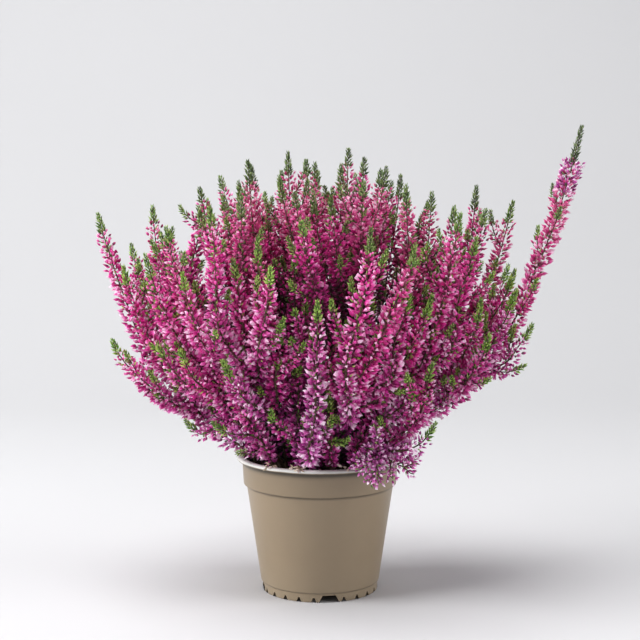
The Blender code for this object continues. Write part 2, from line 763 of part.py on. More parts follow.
def put_in_place():
    """Parents every piece to an empty on the pot's axis, and moves that to its place under the plant."""
    pieces = list(bpy.data.objects)
    axis = bpy.data.objects.new("pot_axis", None)
    axis.location = POT_PLACE
    bpy.context.scene.collection.objects.link(axis)
    for piece in pieces:
        piece.parent = axis


def build():
    """Models the pot, the soil, the stems and the sprays."""
    clear_scene()
    plastic = material("pot_plastic", (0.46, 0.38, 0.28), 0.5)
    earth = material("potting_mix", (0.05, 0.03, 0.02), 0.95)
    wood = material("heather_wood", (0.16, 0.11, 0.07), 0.8)
    flowers = material("heather_flowers", (0.56, 0.06, 0.30), 0.6)
    rng = random.Random(SEED)
    sprays = plant_sprays(rng)
    shoots = grow_shoots(sprays, rng)
    relax(sprays, shoots)
    measure_room(sprays, shoots)
    pot(plastic)
    soil(sprays, earth)
    for number, spray in enumerate(sprays):
        own = [shoot for shoot in shoots if shoot.spray == number]
        woody_stem(f"stem_{number + 1:02d}", spray, own[0], wood)
        inner = 0.0 if spray.at_rim else INNER_SHARE
        body = flowering_shoot(f"spray_{number + 1:02d}", own[0], spray.bare, inner, flowers, rng)
        side_shoots = [flowering_shoot("side_shoot", shoot, 0.0, inner, flowers, rng) for shoot in own[1:]]
        if side_shoots:
            boolean_with(body, side_shoots, "UNION")
            keep_body(body)
    put_in_place()


build()
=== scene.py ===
"""A potted heather in flower: its looks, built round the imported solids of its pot, soil, stems and sprays.

Metres, +Z up, in the frame of the solids: the origin is on the surface that the pot stands on, under the
middle of the whole plant, and -Y is the front. The shoots are grown here by the same rule as the solids,
round the pot's axis, and each is then dressed with its own florets, leaves, side shoots and bark.
"""

import json
import logging
import math
import random
from collections.abc import Iterable
from dataclasses import dataclass, field
from enum import Enum

import bmesh
import bpy
import numpy as np
from mathutils import Matrix, Vector, noise

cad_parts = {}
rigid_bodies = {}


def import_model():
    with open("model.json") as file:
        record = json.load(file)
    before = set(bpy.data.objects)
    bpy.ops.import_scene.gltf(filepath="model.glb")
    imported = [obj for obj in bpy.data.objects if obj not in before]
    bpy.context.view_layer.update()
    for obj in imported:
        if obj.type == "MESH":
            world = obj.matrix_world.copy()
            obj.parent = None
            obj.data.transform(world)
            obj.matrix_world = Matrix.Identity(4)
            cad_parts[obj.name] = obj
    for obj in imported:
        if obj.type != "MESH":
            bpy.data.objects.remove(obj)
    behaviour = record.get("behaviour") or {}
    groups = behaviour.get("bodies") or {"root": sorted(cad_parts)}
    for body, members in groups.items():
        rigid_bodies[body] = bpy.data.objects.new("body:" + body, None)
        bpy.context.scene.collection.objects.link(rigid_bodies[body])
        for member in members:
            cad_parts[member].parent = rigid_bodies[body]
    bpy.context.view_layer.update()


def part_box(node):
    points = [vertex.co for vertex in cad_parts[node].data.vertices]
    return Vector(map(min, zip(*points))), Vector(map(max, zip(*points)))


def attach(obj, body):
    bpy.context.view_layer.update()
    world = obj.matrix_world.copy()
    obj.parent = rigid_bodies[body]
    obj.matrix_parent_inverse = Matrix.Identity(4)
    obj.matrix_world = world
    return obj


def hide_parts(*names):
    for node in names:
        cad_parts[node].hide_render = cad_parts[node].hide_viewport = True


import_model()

LOG = logging.getLogger("heather")
UP = np.array([0.0, 0.0, 1.0])
GOLDEN_ANGLE = math.pi * (3 - math.sqrt(5))
BODY = "root"

Socket = bpy.types.NodeSocket
Painted = tuple[Socket | tuple, Socket]
Colour = tuple[float, float, float]
Pair = tuple[float, float]
Pairs = tuple[Pair, ...]


def unit(vector: np.ndarray) -> np.ndarray:
    """The vector at length one."""
    return vector / np.linalg.norm(vector)


def lengths_along(line: np.ndarray) -> np.ndarray:
    """How far along a line each of its points lies."""
    return np.concatenate([[0.0], np.cumsum(np.linalg.norm(np.diff(line, axis=0), axis=1))])


def evenly(line: np.ndarray, count: int) -> np.ndarray:
    """Spaces a line's points evenly.

    Args:
        line: The points of the line, one row each.
        count: How many points the result has.

    Returns:
        The same line with that many evenly spaced points.
    """
    run = lengths_along(line)
    at = np.linspace(0, run[-1], count)
    return np.stack([np.interp(at, run, line[:, axis]) for axis in range(3)], axis=1)


def bezier(
    start: np.ndarray, first: np.ndarray, second: np.ndarray, end: np.ndarray, count: int
) -> np.ndarray:
    """Draws a cubic curve.

    Args:
        start: Where the curve starts.
        first: The control point that it sets out towards.
        second: The control point that it arrives from.
        end: Where the curve ends.
        count: How many points the result has.

    Returns:
        Evenly spaced points along the curve.
    """
    t = np.linspace(0, 1, 8 * count)[:, None]
    line = (1 - t) ** 3 * start + 3 * t * (1 - t) ** 2 * first + 3 * t * t * (1 - t) * second + t**3 * end
    return evenly(line, count)


def polar(degrees: float, radius: float, height: float) -> np.ndarray:
    """The point at an azimuth in degrees, a radius and a height."""
    turn = math.radians(degrees)
    return np.array([radius * math.cos(turn), radius * math.sin(turn), height])


def clamp(value: float, low: float = 0.0, high: float = 1.0) -> float:
    """The value, held between two limits."""
    return min(max(value, low), high)


def verts_in(geometry: list) -> list[bmesh.types.BMVert]:
    """The vertices among what a bmesh operator gave back."""
    return [item for item in geometry if isinstance(item, bmesh.types.BMVert)]


def turned(profile: list[Pair], segments: int) -> bmesh.types.BMesh:
    """Turns a section round the Z axis.

    Args:
        profile: The (radius, height) points of the section, which starts and ends on the axis.
        segments: How many steps the turn has.

    Returns:
        The closed solid.
    """
    shape = bmesh.new()
    points = [shape.verts.new((radius, 0.0, height)) for radius, height in profile]
    edges = [shape.edges.new(pair) for pair in zip(points, points[1:])]
    bmesh.ops.spin(
        shape,
        geom=points + edges,
        cent=(0, 0, 0),
        axis=(0, 0, 1),
        angle=math.tau,
        steps=segments,
        use_merge=True,
    )
    bmesh.ops.remove_doubles(shape, verts=shape.verts, dist=1e-5)
    bmesh.ops.recalc_face_normals(shape, faces=shape.faces)
    return shape


def mesh_of(name: str, shape: bmesh.types.BMesh) -> bpy.types.Mesh:
    """Writes a bmesh to a new mesh and frees it.

    Args:
        name: The mesh's name.
        shape: The bmesh.

    Returns:
        The mesh.
    """
    mesh = bpy.data.meshes.new(name)
    shape.to_mesh(mesh)
    shape.free()
    return mesh


def evaluated(obj: bpy.types.Object) -> bpy.types.Mesh:
    """A new mesh of what an object's curve or modifiers make."""
    bpy.context.view_layer.update()
    return bpy.data.meshes.new_from_object(obj.evaluated_get(bpy.context.evaluated_depsgraph_get()))


def linked(name: str, data: bpy.types.ID, finish: bpy.types.Material | None = None) -> bpy.types.Object:
    """Puts an object in the scene.

    Args:
        name: The object's name.
        data: Its mesh, curve, light or camera.
        finish: Its material, if it has one.

    Returns:
        The object, at the origin.
    """
    if finish:
        data.materials.append(finish)
    obj = bpy.data.objects.new(name, data)
    bpy.context.scene.collection.objects.link(obj)
    return obj


class Habit(Enum):
    """How a spray grows: in the dome, or on a short stem at the pot's rim."""

    DOME = "dome"
    RIM = "rim"


@dataclass
class Spray:
    """The shoots that one woody stem carries."""

    hole: Pair
    tips: list[np.ndarray]
    bare: float
    stem_radius: float
    habit: Habit


@dataclass
class Shoot:
    """One shoot: the points it runs through, its spray, and where it leaves that spray's first shoot."""

    path: np.ndarray
    spray: int
    leader: int | None = None
    fork: int | None = None
    radii: np.ndarray = field(default_factory=lambda: np.zeros(0))

    @property
    def run(self) -> np.ndarray:
        """How far along the shoot each of its points lies."""
        return lengths_along(self.path)


@dataclass(frozen=True)
class PotSizes:
    """The nursery pot, 11 cm across its lip, measured from the foot of its axis."""

    place: tuple[float, float, float] = (-0.0109, -0.0058, 0.0)
    height: float = 0.090
    lip_radius: float = 0.055
    lip_depth: float = 0.0028
    collar_top_radius: float = 0.0516
    collar_foot_radius: float = 0.0507
    collar_depth: float = 0.0157
    body_top_radius: float = 0.0487
    body_foot_radius: float = 0.0393
    wall: float = 0.0011
    edge: float = 0.0008
    foot_height: float = 0.0062
    foot_radius: float = 0.0383
    foot_wall: float = 0.0018
    floor_height: float = 0.0052
    floor_thickness: float = 0.0014
    soil_top: float = 0.0825
    soil_relief: float = 0.0011
    hole_depth: float = 0.012
    gap: float = 0.0003

    def inside(self) -> list[Pair]:
        """The pot's inside from its floor to its lip, as (radius, height) points."""
        collar_foot = self.height - self.lip_depth - self.collar_depth
        shelf = collar_foot + 0.8 * self.wall
        return [
            (self.body_foot_radius - self.wall, self.floor_height + self.floor_thickness),
            (self.body_top_radius - self.wall, shelf - self.edge),
            (self.collar_foot_radius - self.wall, shelf),
            (self.collar_top_radius - self.wall, self.height - self.edge),
        ]

    def inner_radius(self, height: float) -> float:
        """The pot's inside radius at a height."""
        radii, heights = zip(*self.inside())
        return float(np.interp(height, heights, radii))


@dataclass
class Growth:
    """The rule by which the shoots grow out of the pot, the same as in the solids.

    A tier is a ring of shoots, as (shoots, reach along X, share of it in front, share behind, lowest tip,
    highest tip). A rim spray is its stem's azimuth, then each shoot's tip as (azimuth, radius, height).
    """

    pot: PotSizes
    seed: int = 7
    crown_height: float = 0.080
    tiers: tuple = (
        (21, 0.118, 0.66, 0.86, 0.160, 0.188),
        (26, 0.129, 0.72, 0.88, 0.198, 0.228),
        (23, 0.113, 0.80, 0.90, 0.232, 0.258),
        (19, 0.083, 0.86, 0.92, 0.252, 0.276),
        (12, 0.049, 0.92, 0.94, 0.264, 0.288),
        (5, 0.019, 1.00, 1.00, 0.276, 0.292),
    )
    reach_draw: float = 0.10
    turn_draw: float = 0.22
    outline_tips: tuple = (
        (0.168, -0.012, 0.306),
        (-0.146, 0.006, 0.249),
        (-0.134, -0.022, 0.169),
        (0.137, -0.020, 0.179),
        (0.128, 0.016, 0.257),
        (0.104, 0.020, 0.267),
    )
    dome_sprays: int = 20
    dome_depth: float = 0.85
    soil_spread: float = 0.035
    lowest_rise: float = math.radians(32.0)
    largest_lean: float = math.radians(78.0)
    lip_clearance: float = 0.018
    fork_range: Pair = (0.22, 0.46)
    fork_share: float = 0.42
    fork_draw: float = 0.10
    leader_pulls: Pair = (0.40, 0.45)
    leader_aim: float = 0.45
    side_pulls: Pair = (0.38, 0.40)
    side_along: float = 0.45
    side_away: float = 0.80
    side_aim: float = 0.60
    rim_pull: float = 0.35
    rim_sprays: tuple = (
        (-104, ((-108, 0.061, 0.161), (-121, 0.066, 0.132), (-95, 0.062, 0.128))),
        (-80, ((-81, 0.061, 0.143), (-74, 0.064, 0.112))),
        (-58, ((-64, 0.068, 0.157), (-47, 0.084, 0.150))),
        (-40, ((-62, 0.077, 0.084), (-46, 0.084, 0.097), (-38, 0.092, 0.121))),
        (-136, ((-134, 0.080, 0.166), (-146, 0.082, 0.120))),
        (178, ((172, 0.078, 0.144), (-172, 0.088, 0.116))),
        (132, ((140, 0.082, 0.128), (124, 0.076, 0.150))),
        (84, ((80, 0.074, 0.146), (94, 0.078, 0.118))),
        (38, ((42, 0.080, 0.150), (30, 0.088, 0.120))),
    )
    rim_stem_ring: float = 0.0425
    rim_rise: float = 0.028
    droop_below: float = 0.100
    droop_rise: float = 0.020
    path_points: int = 28
    stem_radius: float = 0.0019
    rim_stem_radius: float = 0.0014
    stem_margin: float = 0.0006
    bare_length: float = 0.018
    rim_bare_length: float = 0.008
    side_bare_length: float = 0.009
    core_radius: float = 0.0023
    floret_radius: float = 0.0072
    top_floret_radius: float = 0.0048
    taper_length: float = 0.045
    taper_share: float = 0.30
    leafy_tip: float = 0.012
    leafy_tip_radius: float = 0.0030
    start_slope: float = 0.60
    clearance: float = 0.0008
    fork_ease: float = 0.030
    relax_rounds: int = 60
    push_share: float = 0.45
    stiffness: float = 0.04
    leader_loosening: float = 6.0
    side_loosening: float = 4.0
    slab: float = 0.016

    def grow(self) -> tuple[list[Spray], list[Shoot]]:
        """Grows the whole plant.

        Returns:
            The sprays, and all their shoots with the room that each has, round the pot's axis.
        """
        rng = random.Random(self.seed)
        sprays = self.plant_sprays(rng)
        shoots = self.grow_shoots(sprays, rng)
        self.relax(sprays, shoots)
        self.measure_room(sprays, shoots)
        return sprays, shoots

    def shoot_tips(self, rng: random.Random) -> list[np.ndarray]:
        """Draws the tips of the dome's shoots, tier by tier.

        Args:
            rng: The seeded draws.

        Returns:
            The tips, with the outline tips in place of the nearest drawn ones.
        """
        tips = []
        for number, (count, reach, front, behind, lowest, highest) in enumerate(self.tiers):
            for k in range(count):
                turn = math.tau * (k + 0.5 * (number % 2) + self.turn_draw * rng.uniform(-1, 1)) / count
                out = reach * (1 + self.reach_draw * rng.uniform(-1, 1))
                depth = behind if math.sin(turn) > 0 else front
                height = rng.uniform(lowest, highest)
                tips.append(np.array([out * math.cos(turn), out * depth * math.sin(turn), height]))
        for outline_tip in self.outline_tips:
            wanted = np.array(outline_tip)
            away = [np.linalg.norm(tip - wanted) for tip in tips]
            tips[int(np.argmin(away))] = wanted
        return tips

    def leader_path(self, spray: Spray, tip: np.ndarray) -> np.ndarray:
        """Draws a stem's first shoot: upright in its hole, leaning out over the rim, turning up to its tip.

        Args:
            spray: The spray that the shoot leads.
            tip: Where the shoot ends.

        Returns:
            The points of the shoot.
        """
        foot = np.array([*spray.hole, self.pot.soil_top])
        aim = unit(tip - self.crown_height * UP)
        level = np.array([aim[0], aim[1], 0.0])
        level = level / max(np.linalg.norm(level), 1e-6)
        steepness = (math.pi / 2 - math.asin(aim[2])) / (math.pi / 2 - self.lowest_rise)
        lean = self.largest_lean * min(steepness, 1.0)
        far = np.linalg.norm(tip - foot)
        first = foot + self.leader_pulls[0] * far * (math.sin(lean) * level + math.cos(lean) * UP)
        first[2] = max(first[2], self.pot.height + self.lip_clearance)
        second = tip - self.leader_pulls[1] * far * unit(self.leader_aim * aim + UP)
        return bezier(foot, first, second, tip, self.path_points)

    def rim_path(self, spray: Spray, tip: np.ndarray) -> np.ndarray:
        """Draws a rim spray's first shoot: up past the lip, then out to its tip or over and down to it.

        Args:
            spray: The spray that the shoot leads.
            tip: Where the shoot ends.

        Returns:
            The points of the shoot.
        """
        foot = np.array([*spray.hole, self.pot.soil_top])
        far = np.linalg.norm(tip - foot)
        rise = self.droop_rise if tip[2] < self.droop_below else -self.rim_pull * far
        return bezier(foot, foot + self.rim_rise * UP, tip + rise * UP, tip, self.path_points)

    def side_path(self, leader: np.ndarray, fork: int, tip: np.ndarray) -> np.ndarray:
        """Draws a side shoot that leaves the first shoot at a point and turns up to its own tip.

        Args:
            leader: The points of the first shoot.
            fork: Which of them the side shoot leaves from.
            tip: Where the side shoot ends.

        Returns:
            The points of the side shoot.
        """
        start = leader[fork]
        along = unit(leader[fork + 1] - leader[fork - 1])
        away = unit(tip - start)
        far = np.linalg.norm(tip - start)
        first = start + self.side_pulls[0] * far * unit(self.side_along * along + self.side_away * away)
        second = tip - self.side_pulls[1] * far * unit(self.side_aim * away + UP)
        return bezier(start, first, second, tip, self.path_points)

    def plant_sprays(self, rng: random.Random) -> list[Spray]:
        """Places every spray: the dome's tips shared out by direction, then the rim's.

        Args:
            rng: The seeded draws.

        Returns:
            The sprays that have any tips.
        """
        sprays = []
        aims = []
        for k in range(self.dome_sprays):
            share = (k + 0.5) / self.dome_sprays
            turn = k * GOLDEN_ANGLE
            rise = math.asin(1 - share * (1 - math.sin(self.lowest_rise)))
            level = math.cos(rise)
            deep = self.dome_depth * level * math.sin(turn)
            aims.append(np.array([level * math.cos(turn), deep, math.sin(rise)]))
            around = self.soil_spread * math.sqrt(share)
            hole = (around * math.cos(turn), around * math.sin(turn))
            sprays.append(Spray(hole, [], self.bare_length, self.stem_radius, Habit.DOME))
        for tip in self.shoot_tips(rng):
            aim = unit(tip - self.crown_height * UP)
            sprays[int(np.argmax([aim @ unit(other) for other in aims]))].tips.append(tip)
        for degrees, tips in self.rim_sprays:
            hole = tuple(polar(degrees, self.rim_stem_ring, 0)[:2])
            tips = [polar(*tip) for tip in tips]
            sprays.append(Spray(hole, tips, self.rim_bare_length, self.rim_stem_radius, Habit.RIM))
        return [spray for spray in sprays if spray.tips]

    def grow_shoots(self, sprays: list[Spray], rng: random.Random) -> list[Shoot]:
        """Grows the shoots of every spray. The first of a dome spray is the one nearest its middle.

        Args:
            sprays: The sprays with their tips.
            rng: The seeded draws.

        Returns:
            The shoots, each spray's first shoot before its side shoots.
        """
        shoots = []
        crown = self.crown_height * UP
        for number, spray in enumerate(sprays):
            tips = spray.tips
            if spray.habit is Habit.DOME:
                middle = unit(sum(unit(tip - crown) for tip in tips))
                tips = sorted(tips, key=lambda tip: -float((tip - crown) @ middle))
                leader = self.leader_path(spray, tips[0])
            else:
                leader = self.rim_path(spray, tips[0])
            first = len(shoots)
            shoots.append(Shoot(leader, number))
            far = np.linalg.norm(tips[0] - crown)
            for tip in tips[1:]:
                share = self.fork_share * np.linalg.norm(tip - crown) / far
                share += rng.uniform(-self.fork_draw, self.fork_draw)
                fork = round(clamp(share, *self.fork_range) * (self.path_points - 1))
                shoots.append(Shoot(self.side_path(leader, fork, tip), number, first, fork))
        return shoots

    def wanted_radii(self, shoot: Shoot, sprays: list[Spray]) -> np.ndarray:
        """Says how wide a shoot would be where there is room.

        Args:
            shoot: The shoot.
            sprays: All the sprays.

        Returns:
            A radius for each of the shoot's points.
        """
        run = shoot.run
        left = run[-1] - run
        taper = min(self.taper_length, self.taper_share * run[-1])
        reach = [self.leafy_tip, self.leafy_tip + taper]
        flowers = np.interp(left, reach, [self.top_floret_radius, self.floret_radius])
        radii = np.where(left < self.leafy_tip, self.leafy_tip_radius, flowers)
        spray = sprays[shoot.spray]
        forked = shoot.leader is not None
        bare = self.side_bare_length if forked else spray.bare
        bare_radius = self.core_radius if forked else spray.stem_radius + self.stem_margin
        radii = np.minimum(radii, self.core_radius + self.start_slope * np.maximum(run - bare, 0.0))
        return np.where(run < bare, bare_radius, radii)

    def away_from_pot(self, points: np.ndarray) -> tuple[np.ndarray, np.ndarray]:
        """Measures how far points are from the pot's lip and wall.

        Args:
            points: The points, one row each.

        Returns:
            Each point's distance, and the way (outwards, up) that leads from the pot to it.
        """
        pot = self.pot
        section = [
            (pot.lip_radius - pot.lip_depth / 2, pot.height - pot.lip_depth / 2),
            (pot.collar_top_radius - pot.wall, pot.height - pot.lip_depth / 2),
            (pot.collar_foot_radius - pot.wall, pot.height - pot.lip_depth - pot.collar_depth),
            (pot.body_foot_radius, 0.0),
        ]
        at = np.stack([np.hypot(points[:, 0], points[:, 1]), points[:, 2]], axis=1)
        best = np.full(len(points), np.inf)
        way = np.zeros_like(at)
        for low, high in zip(section, section[1:]):
            low, high = np.array(low), np.array(high)
            share = np.clip((at - low) @ (high - low) / ((high - low) @ (high - low)), 0, 1)
            apart = at - low - share[:, None] * (high - low)
            away = np.linalg.norm(apart, axis=1)
            way = np.where((away < best)[:, None], apart / np.maximum(away, 1e-6)[:, None], way)
            best = np.minimum(best, away)
        return best - pot.lip_depth / 2, way

    def pot_push(self, points: np.ndarray, radii: np.ndarray) -> np.ndarray:
        """Says how far each point has to move to clear the pot and to stay above the soil.

        Args:
            points: The points, one row each.
            radii: The radius round each.

        Returns:
            The move of each point.
        """
        pot = self.pot
        away, way = self.away_from_pot(points)
        short = np.maximum(radii + 2 * self.clearance - away, 0.0)[:, None]
        around = np.maximum(np.hypot(points[:, 0], points[:, 1]), 1e-6)[:, None]
        push = np.concatenate([points[:, :2] / around * way[:, :1] * short, way[:, 1:] * short], axis=1)
        sunk = np.maximum(pot.soil_top + 2 * pot.soil_relief + radii + self.clearance - points[:, 2], 0.0)
        push[:, 2] += np.where(around[:, 0] < pot.collar_foot_radius, sunk, 0.0)
        return push

    def pot_room(self, points: np.ndarray) -> np.ndarray:
        """The radius that each point can have without reaching the pot or the soil."""
        pot = self.pot
        away = self.away_from_pot(points)[0] - self.clearance
        around = np.hypot(points[:, 0], points[:, 1])
        above = np.maximum(points[:, 2] - pot.soil_top - 2 * pot.soil_relief - pot.gap, self.core_radius)
        return np.where(around < pot.collar_foot_radius, np.minimum(away, above), away)

    def close_pairs(
        self,
        points: np.ndarray,
        radii: np.ndarray,
        number: np.ndarray,
        owner: np.ndarray,
        past_fork: np.ndarray,
    ) -> tuple[np.ndarray, np.ndarray, np.ndarray, np.ndarray]:
        """Finds points of different shoots that are closer than their room.

        Args:
            points: The points of all the shoots.
            radii: The radius round each.
            number: Which shoot each is on.
            owner: Which spray each is on.
            past_fork: How far each is past its fork, from 0 to 1.

        Returns:
            The first and second point of each pair, how far they fall short, and how far apart they are.
        """
        reach = 2 * self.floret_radius + self.clearance
        found = []
        for low in np.arange(points[:, 0].min(), points[:, 0].max() + self.slab, self.slab):
            inner = np.nonzero((points[:, 0] >= low) & (points[:, 0] < low + self.slab))[0]
            near = np.nonzero((points[:, 0] > low - reach) & (points[:, 0] < low + self.slab + reach))[0]
            apart = points[inner][:, None, :] - points[near][None, :, :]
            square = apart[:, :, 0] ** 2 + apart[:, :, 1] ** 2 + apart[:, :, 2] ** 2
            need = radii[inner][:, None] + radii[near][None, :] + self.clearance
            close = (square < need**2) & (number[inner][:, None] != number[near][None, :])
            first, second = np.nonzero(close)
            found.append((inner[first], near[second], need[close], np.sqrt(square[close])))
        first, second, need, away = (np.concatenate(column) for column in zip(*found))
        kin = owner[first] == owner[second]
        eased = np.where(kin, np.minimum(past_fork[first], past_fork[second]), 1.0)
        short = need * eased - away
        keep = short > 0
        return first[keep], second[keep], short[keep], away[keep]

    def relax(self, sprays: list[Spray], shoots: list[Shoot]) -> None:
        """Moves the shoots apart until each has room for its florets, as growing shoots do.

        Args:
            sprays: All the sprays.
            shoots: All the shoots, whose paths are changed.
        """
        paths = np.stack([shoot.path for shoot in shoots])
        radii = np.concatenate([self.wanted_radii(shoot, sprays) for shoot in shoots])
        number = np.repeat(np.arange(len(shoots)), self.path_points)
        owner = np.repeat([shoot.spray for shoot in shoots], self.path_points)
        forked = np.array([shoot.leader is not None for shoot in shoots])
        runs = np.stack([shoot.run for shoot in shoots])
        past_fork = np.where(forked[:, None], np.minimum(runs / self.fork_ease, 1.0), 1.0).ravel()
        ease = np.linspace(0, 1, self.path_points)[:, None]
        loosening = np.where(forked, self.side_loosening, self.leader_loosening)[:, None, None]
        freedom = np.minimum(ease[None] * loosening, 1.0)
        for _ in range(self.relax_rounds):
            points = paths.reshape(-1, 3)
            first, second, short, away = self.close_pairs(points, radii, number, owner, past_fork)
            deepest = np.zeros((len(points), len(shoots)))
            np.maximum.at(deepest, (first, number[second]), short)
            chosen = short == deepest[first, number[second]]
            first, second, short, away = first[chosen], second[chosen], short[chosen], away[chosen]
            push = self.pot_push(points, radii)
            apart = (points[first] - points[second]) / np.maximum(away, 1e-6)[:, None]
            np.add.at(push, first, self.push_share * short[:, None] * apart)
            push = push.reshape(paths.shape)
            padded = np.concatenate([push[:, :1], push, push[:, -1:]], axis=1)
            paths = paths + (padded[:, :-2] + 2 * push + padded[:, 2:]) / 4 * freedom
            paths[:, 1:-1] += self.stiffness * (paths[:, :-2] + paths[:, 2:] - 2 * paths[:, 1:-1])
            for i, shoot in enumerate(shoots):
                if shoot.leader is not None:
                    paths[i] += (paths[shoot.leader][shoot.fork] - paths[i][0]) * (1 - ease) ** 2
            paths = np.round(paths, 7)
        for shoot, path in zip(shoots, paths):
            shoot.path = path

    def measure_room(self, sprays: list[Spray], shoots: list[Shoot]) -> None:
        """Gives each point of each shoot the radius it can have beside its neighbours and the pot.

        Args:
            sprays: All the sprays.
            shoots: All the shoots, whose paths get more points and whose radii are set.
        """
        for shoot in shoots:
            shoot.path = evenly(shoot.path, 2 * self.path_points)
        wanted = [self.wanted_radii(shoot, sprays) for shoot in shoots]
        for shoot, own in zip(shoots, wanted):
            others = [j for j, other in enumerate(shoots) if other.spray != shoot.spray]
            theirs = np.concatenate([wanted[j] for j in others])[None, :]
            points = np.concatenate([shoots[j].path for j in others])[None, :, :]
            away = np.linalg.norm(shoot.path[:, None, :] - points, axis=2) - self.clearance
            room = (away * own[:, None] / (own[:, None] + theirs)).min(axis=1)
            shoot.radii = np.minimum(np.minimum(own, self.pot_room(shoot.path)), room)


class Strand:
    """A line that things grow along, with a frame and some room at each of its points."""

    def __init__(self, path: np.ndarray, radii: np.ndarray) -> None:
        """Works out the frames.

        Args:
            path: The points of the line, in the frame of the solids.
            radii: The room round each point.
        """
        self.path = path
        self.radii = radii
        self.run = lengths_along(path)
        self.tangents = np.gradient(path, axis=0)
        self.tangents /= np.linalg.norm(self.tangents, axis=1)[:, None]
        side = unit(np.cross(self.tangents[0], [0.31, 0.83, 0.12]))
        self.sides = []
        for tangent in self.tangents:
            side = unit(side - (side @ tangent) * tangent)
            self.sides.append(side)

    @property
    def length(self) -> float:
        """The length of the whole line."""
        return float(self.run[-1])

    def at(self, station: float) -> tuple[Vector, Vector, Vector, Vector, float]:
        """Looks up a place on the line.

        Args:
            station: How far along the line the place lies.

        Returns:
            The centre, the tangent, two side directions and the room there.
        """
        low = int(clamp(int(np.searchsorted(self.run, station)) - 1, 0, len(self.run) - 2))
        share = clamp((station - self.run[low]) / (self.run[low + 1] - self.run[low]))
        centre = Vector(self.path[low]).lerp(Vector(self.path[low + 1]), share)
        tangent = Vector(self.tangents[low]).lerp(Vector(self.tangents[low + 1]), share).normalized()
        side = Vector(self.sides[low])
        side = (side - side.dot(tangent) * tangent).normalized()
        room = float(self.radii[low] + share * (self.radii[low + 1] - self.radii[low]))
        return centre, tangent, side, tangent.cross(side), room


class Nodes:
    """A node tree, with short calls to add nodes to it and join them."""

    def __init__(self, tree: bpy.types.NodeTree) -> None:
        """Keeps the tree."""
        self.tree = tree

    def add(self, kind: str, inputs: dict | None = None, **settings: object) -> bpy.types.Node:
        """Adds a node.

        Args:
            kind: Blender's name for the kind of node.
            inputs: Values for its input sockets, by name or number, or the sockets to join to them.
            **settings: Values for the node's own settings.

        Returns:
            The node.
        """
        node = self.tree.nodes.new(kind)
        for name, value in settings.items():
            setattr(node, name, value)
        for name, value in (inputs or {}).items():
            if isinstance(value, Socket):
                self.tree.links.new(value, node.inputs[name])
            else:
                node.inputs[name].default_value = value
        return node

    @property
    def shader(self) -> bpy.types.Node:
        """A material's Principled shader."""
        return self.tree.nodes["Principled BSDF"]

    def stretched(self, vector: Socket, upwards: float) -> Socket:
        """The socket of coordinates whose Z is scaled, which draws out what follows them."""
        return self.add("ShaderNodeMapping", {"Vector": vector, "Scale": (1.0, 1.0, upwards)}).outputs[0]

    def mark(self, name: str) -> Socket:
        """The socket of one of the marks that the florets and leaves carry."""
        return self.add("ShaderNodeAttribute", attribute_name=name).outputs["Fac"]

    def noise(self, vector: Socket, scale: float | Socket, detail: float) -> Socket:
        """The socket of a noise of a scale and a detail."""
        return self.add("ShaderNodeTexNoise", {"Vector": vector, "Scale": scale, "Detail": detail}).outputs[0]

    def ramp(self, factor: Socket, stops: Iterable[tuple[float, tuple]]) -> Socket:
        """Adds a colour ramp.

        Args:
            factor: The socket that drives it.
            stops: Its stops, as (place, colour).

        Returns:
            The ramp's colour socket.
        """
        node = self.add("ShaderNodeValToRGB", {0: factor})
        stops = list(stops)
        elements = node.color_ramp.elements
        while len(elements) < len(stops):
            elements.new(0.5)
        for element, (place, colour) in zip(elements, stops):
            element.position = place
            element.color = (*colour, 1.0)
        return node.outputs[0]

    def math(self, operation: str, *values: object, clamped: bool = False) -> Socket:
        """Adds a math node.

        Args:
            operation: Blender's name for the operation.
            *values: Its inputs, as numbers or sockets.
            clamped: Whether the result is held between 0 and 1.

        Returns:
            The result's socket.
        """
        node = self.add("ShaderNodeMath", dict(enumerate(values)), operation=operation, use_clamp=clamped)
        return node.outputs[0]

    def mix(self, factor: object, first: object, second: object, blend: str = "MIX") -> Socket:
        """Adds a colour mix.

        Args:
            factor: How much of the second colour shows, as a number or a socket.
            first: The first colour or its socket.
            second: The second colour or its socket.
            blend: Blender's name for how the two are blended.

        Returns:
            The mixed colour's socket.
        """
        node = self.add("ShaderNodeMix", data_type="RGBA", blend_type=blend)
        for number, value in ((0, factor), (6, first), (7, second)):
            if isinstance(value, Socket):
                self.tree.links.new(value, node.inputs[number])
            else:
                node.inputs[number].default_value = value if number == 0 else (*value, 1.0)
        return node.outputs[2]


def started_group(name: str, sockets: Iterable[tuple[str, str, str]]) -> Nodes:
    """Starts a shared node group.

    Args:
        name: The group's name.
        sockets: Its sockets, as (name, INPUT or OUTPUT, kind).

    Returns:
        The group's nodes, of which there are none yet.
    """
    tree = bpy.data.node_groups.new(name, "ShaderNodeTree")
    for socket, way, kind in sockets:
        tree.interface.new_socket(socket, in_out=way, socket_type=f"NodeSocket{kind}")
    return Nodes(tree)


